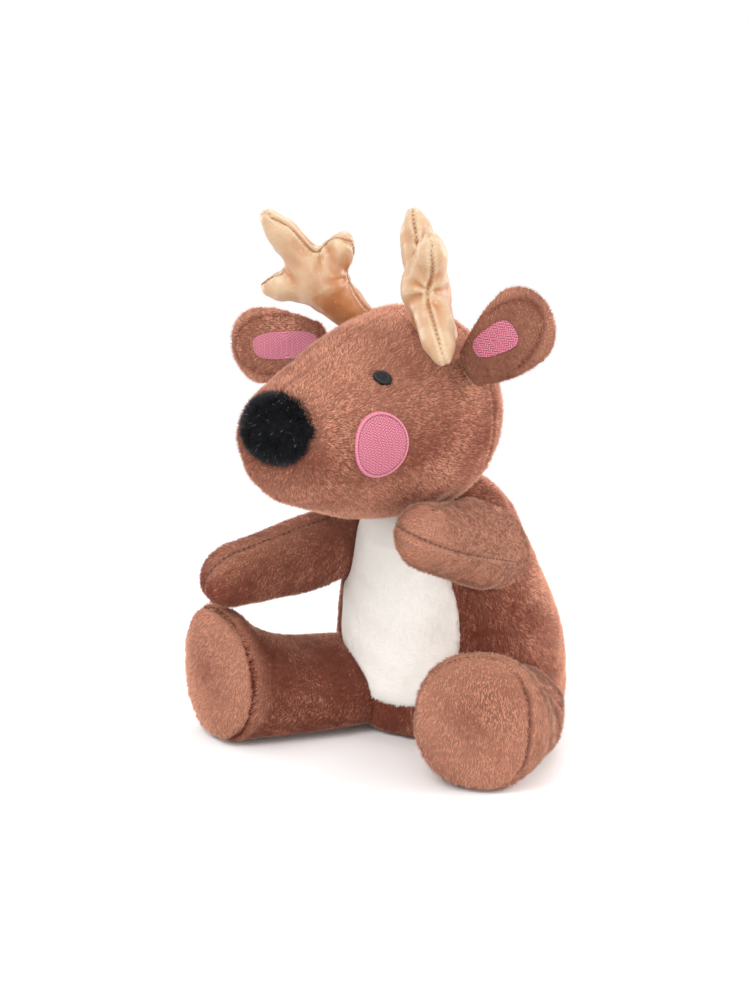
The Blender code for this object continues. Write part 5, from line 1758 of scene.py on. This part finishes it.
def make_antlers():
    cloth = cloths()
    for side in sides:
        place = antler_frame(side)
        lines = tine_lines(side)
        thing, points, normals = stuffed_antler(f"antler_{side}_hide", lines)
        tip = lines[0][0][-1] + np.array([0.0, 0.0, tine_point_radius])
        outline, outward = seam_outline(lines, tip, side)
        run = np.concatenate([[0], np.cumsum(np.linalg.norm(np.diff(outline, axis=0), axis=1))])
        nearest = np.linalg.norm(points[:, None] - outline[None], axis=-1).argmin(axis=1)
        along = run[nearest]
        flat = np.abs(points[:, 1] - tine_middles(points, lines) - seam_side(normals, side))
        tips = np.array([path[-1] for path, _ in lines])
        off_tip = np.linalg.norm(points[:, None] - tips[None], axis=-1).min(axis=1)
        groove = bump(flat, 0.0007) * (0.25 + 0.75 * ramp(off_tip, 0.0044, 0.0080))
        gather = (0.5 + 0.5 * np.cos(math.tau * along / stitch_pitch)) * bump(flat - 0.0013, 0.0010)
        palm = np.array([antler_shares[side]["palm"][0], 0.0, antler_shares[side]["palm"][1]]) * antler_span
        folds = np.zeros(len(points))
        for index in crotches(outline, palm):
            offset = points - outline[index]
            tangent = np.cross(outward[index], [0.0, 1.0, 0.0])
            turn = np.arctan2(offset @ tangent, np.abs(offset[:, 1]) + 0.0006)
            reach = np.linalg.norm(offset, axis=1)
            fan = 0.5 + 0.5 * np.sin(turn * 6.5 + 0.8 + 230 * reach)
            folds = np.maximum(folds, fan * ramp(reach, 0.0008, 0.0040) * bump(reach, 0.0125))
        creases = waves(points * np.array([1.0, 0.5, 1.0]), 0.011, 700) + 0.3 * waves(points, 0.005, 701)
        lip = bump(flat - 0.0015, 0.0008)
        depth = 0.0006 * groove + 0.00022 * gather + fold_depths[side] * folds + 0.00026 * creases - 0.00040 * lip
        # Nearness to the antler's root, which is darkened as painted shade
        low = 1 - ramp(np.linalg.norm(points, axis=1), 0.010, 0.030)
        points = place.out(points - normals * depth[:, None])
        mesh = thing.data
        mesh.vertices.foreach_set("co", points.astype(np.float32).ravel())
        mesh.polygons.foreach_set("use_smooth", np.ones(len(mesh.polygons), bool))
        # The shade attribute: painted shade in the seam's groove, the puckers, the folds, the creases and near the
        # root, and painted highlight on the raised lips
        shade = 0.28 + 0.22 * groove + 0.75 * folds + 0.2 * gather + 0.10 * creases - 0.50 * lip + 0.95 * low
        shade = np.clip(shade, 0, 1)
        layer = mesh.attributes.new("shade", "FLOAT", "POINT")
        layer.data.foreach_set("value", shade.astype(np.float32))
        mesh.update()
        mesh.materials.clear()
        mesh.materials.append(cloth["tan_hide"])
        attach(thing, f"antler_{side}")
        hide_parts(f"antler_{side}_front", f"antler_{side}_back", f"antler_{side}_filling")
        at = np.arange(0.3 * stitch_pitch, run[-1] - 0.5 * stitch_pitch, stitch_pitch)
        centres = np.stack([np.interp(at, run, outline[:, axis]) for axis in range(3)], axis=-1)
        out = unit(np.stack([np.interp(at, run, outward[:, axis]) for axis in range(3)], axis=-1))
        end_on = np.linalg.norm(centres[:, None] - tips[None], axis=-1).min(axis=1)
        centres = centres - out * (0.00010 + 0.00040 * ramp(end_on, 0.0044, 0.0080))[:, None]
        run_on = np.cross([0.0, 1.0, 0.0], out)
        keep = forms["head"].depth(place.out(centres)) < -0.0008
        name = f"antler_{side}_stitches"
        world = [place.out(centres)[keep], (run_on @ place.turn.T)[keep], (out @ place.turn.T)[keep]]
        stitches(name, *world, stitch_pitch * 0.48, 0.00020, f"antler_{side}", "tan_leatherette", cloth["tan_stitch"])


# ---------------------------------------------------------------- floor, lights and camera

view_turn = 30.0
view_lift = 14.5
view_distance = 1.4
view_target = (-0.035, 0.020, 0.1057)
view_scale = 0.00045
floor_reach = 3.0
floor_solid = 0.13
floor_gone = 0.55


def lamp(name, place, aim, size, power, colour=(1.0, 1.0, 1.0)):
    """A square soft lamp at a place, turned to an aim."""
    data = bpy.data.lights.new(name, "AREA")
    data.shape = "SQUARE"
    data.size = size
    data.energy = power
    data.color = colour
    thing = bpy.data.objects.new(name, data)
    bpy.context.scene.collection.objects.link(thing)
    back = unit(np.asarray(place, float) - aim)
    right = unit(np.cross([0.0, 0.0, 1.0], back))
    matrix = np.eye(4)
    matrix[:3, 0], matrix[:3, 1], matrix[:3, 2] = right, np.cross(back, right), back
    matrix[:3, 3] = place
    thing.matrix_world = Matrix(matrix.tolist())
    return thing


def make_stage():
    """A pale flat floor, soft lamps, and the camera."""
    _, colours = settings()
    scene = bpy.context.scene
    light = scene.plush_deer_light
    turn, lift = math.radians(view_turn), math.radians(view_lift)
    right = np.array([math.cos(turn), math.sin(turn), 0.0])
    toward = np.array([math.sin(turn), -math.cos(turn), 0.0])
    back = toward * math.cos(lift) + np.array([0.0, 0.0, math.sin(lift)])
    up = np.cross(back, right)
    target = body_place.shift + view_target[0] * right + view_target[1] * toward + np.array([0, 0, view_target[2]])
    camera = bpy.data.cameras.new("camera")
    camera.sensor_fit = "VERTICAL"
    camera.sensor_height = 36
    camera.lens = 36 * view_distance / (1000 * view_scale)
    camera.clip_start = 0.05
    eye = bpy.data.objects.new("camera", camera)
    scene.collection.objects.link(eye)
    matrix = np.eye(4)
    matrix[:3, 0], matrix[:3, 1], matrix[:3, 2] = right, up, back
    matrix[:3, 3] = target + back * view_distance
    eye.matrix_world = Matrix(matrix.tolist())
    scene.camera = eye

    floor = bpy.data.meshes.new("floor")
    reach = floor_reach
    corners = [(-reach, -reach, 0), (reach, -reach, 0), (reach, reach, 0), (-reach, reach, 0)]
    floor.from_pydata(corners, [], [(0, 1, 2, 3)])
    floor.update()
    ground = bpy.data.objects.new("floor", floor)
    scene.collection.objects.link(ground)
    finish = Finish("floor", Base_Color=tint(colours.wall), Roughness=0.9)
    parts = finish.node("ShaderNodeSeparateXYZ", Vector=finish.object_point())
    across = finish.out(parts, "X") - float(body_place.shift[0])
    ahead = finish.out(parts, "Y") - float(body_place.shift[1])
    distance = (across * across + ahead * ahead).math("SQRT")
    finish.send(1.0 - distance.ramp(floor_solid, floor_gone), "Alpha")
    floor.materials.append(finish.material)

    middle = body_place.shift + np.array([0.0, 0.0, 0.11])
    for name, (aside, forward, height, size, power) in {
        "key": (-0.55, 0.75, 0.95, 0.70, light.key),
        "front": (0.15, 1.30, 0.10, 0.90, light.front),
        "side": (1.05, 0.10, 0.50, 0.80, light.fill),
        "rim": (0.20, -0.80, 0.90, 0.60, light.rim),
        "low left": (-0.95, -0.55, 0.10, 0.60, light.low),
        "low right": (0.95, -0.55, 0.10, 0.60, light.low),
    }.items():
        spot = middle + aside * right + forward * toward + np.array([0, 0, height])
        lamp(name, spot, middle, size, power)

    world = bpy.data.worlds.new("room")
    scene.world = world
    world.use_nodes = True
    tree = world.node_tree
    tree.nodes.clear()
    rays = tree.nodes.new("ShaderNodeLightPath")
    seen = Value(tree, rays.outputs["Is Camera Ray"])
    seen = seen.math("MAXIMUM", Value(tree, rays.outputs["Is Transmission Ray"]))
    room, plain = (tree.nodes.new("ShaderNodeBackground") for _ in range(2))
    room.inputs["Strength"].default_value = light.world
    plain.inputs["Strength"].default_value = 1.0
    plain.inputs["Color"].default_value = room.inputs["Color"].default_value = (1, 1, 1, 1)
    mix = tree.nodes.new("ShaderNodeMixShader")
    out = tree.nodes.new("ShaderNodeOutputWorld")
    tree.links.new(seen.socket, mix.inputs[0])
    tree.links.new(room.outputs[0], mix.inputs[1])
    tree.links.new(plain.outputs[0], mix.inputs[2])
    tree.links.new(mix.outputs[0], out.inputs[0])
    scene.view_settings.view_transform = "Standard"


# ---------------------------------------------------------------- operators and panel


class BuildStep(bpy.types.Operator):
    """Builds one group of pieces"""

    bl_idname = "plush_deer.step"
    bl_label = "Step"
    bl_options = {"UNDO"}
    makers = ()

    def execute(self, context):
        for maker in self.makers:
            maker()
        return {"FINISHED"}


class PLUSHDEER_OT_torso(BuildStep):
    """Builds the torso's brown cloth and pile"""

    bl_idname = "plush_deer.torso"
    bl_label = "Torso"
    makers = (make_torso,)


class PLUSHDEER_OT_tummy(BuildStep):
    """Builds the cream tummy panel and its pile"""

    bl_idname = "plush_deer.tummy"
    bl_label = "Tummy"
    makers = (make_tummy,)


class PLUSHDEER_OT_head(BuildStep):
    """Builds the head's cloth and pile"""

    bl_idname = "plush_deer.head"
    bl_label = "Head"
    makers = (make_head,)


class PLUSHDEER_OT_nose(BuildStep):
    """Builds the fluffy nose"""

    bl_idname = "plush_deer.nose"
    bl_label = "Nose"
    makers = (make_nose,)


class PLUSHDEER_OT_faces(BuildStep):
    """Builds the embroidered eyes and cheeks"""

    bl_idname = "plush_deer.faces"
    bl_label = "Eyes and cheeks"
    makers = (make_faces,)


class PLUSHDEER_OT_ears(BuildStep):
    """Builds both ears and their pink linings"""

    bl_idname = "plush_deer.ears"
    bl_label = "Ears"
    makers = (make_ears,)


class PLUSHDEER_OT_arms(BuildStep):
    """Builds both arms and their seam stitches"""

    bl_idname = "plush_deer.arms"
    bl_label = "Arms"
    makers = (make_arms,)


class PLUSHDEER_OT_legs(BuildStep):
    """Builds both legs and soles"""

    bl_idname = "plush_deer.legs"
    bl_label = "Legs"
    makers = (make_legs,)


class PLUSHDEER_OT_antlers(BuildStep):
    """Builds both leatherette antlers"""

    bl_idname = "plush_deer.antlers"
    bl_label = "Antlers"
    makers = (make_antlers,)


class PLUSHDEER_OT_stage(BuildStep):
    """Builds the floor, the lamps and the camera"""

    bl_idname = "plush_deer.stage"
    bl_label = "Stage"
    makers = (make_stage,)


operators = (
    PLUSHDEER_OT_torso,
    PLUSHDEER_OT_tummy,
    PLUSHDEER_OT_head,
    PLUSHDEER_OT_nose,
    PLUSHDEER_OT_faces,
    PLUSHDEER_OT_ears,
    PLUSHDEER_OT_arms,
    PLUSHDEER_OT_legs,
    PLUSHDEER_OT_antlers,
    PLUSHDEER_OT_stage,
)
groups = {
    "plush_deer_pile": PlushDeerPile,
    "plush_deer_colours": PlushDeerColours,
    "plush_deer_light": PlushDeerLight,
}


class PLUSHDEER_PT_panel(bpy.types.Panel):
    """Lists the settings and the build steps"""

    bl_label = "Plush deer"
    bl_space_type = "VIEW_3D"
    bl_region_type = "UI"
    bl_category = "Plush deer"

    def draw(self, context):
        for name, group in groups.items():
            box = self.layout.box()
            for setting in group.__annotations__:
                box.prop(getattr(context.scene, name), setting)
        for operator in operators:
            self.layout.operator(operator.bl_idname)


def register():
    for group in groups.values():
        bpy.utils.register_class(group)
    for name, group in groups.items():
        setattr(bpy.types.Scene, name, bpy.props.PointerProperty(type=group))
    for operator in (*operators, PLUSHDEER_PT_panel):
        bpy.utils.register_class(operator)


def unregister():
    for operator in reversed((*operators, PLUSHDEER_PT_panel)):
        bpy.utils.unregister_class(operator)
    for name, group in groups.items():
        delattr(bpy.types.Scene, name)
        bpy.utils.unregister_class(group)


def main():
    register()
    for operator in operators:
        prefix, name = operator.bl_idname.split(".")
        getattr(getattr(bpy.ops, prefix), name)()


if __name__ == "__main__":
    main()
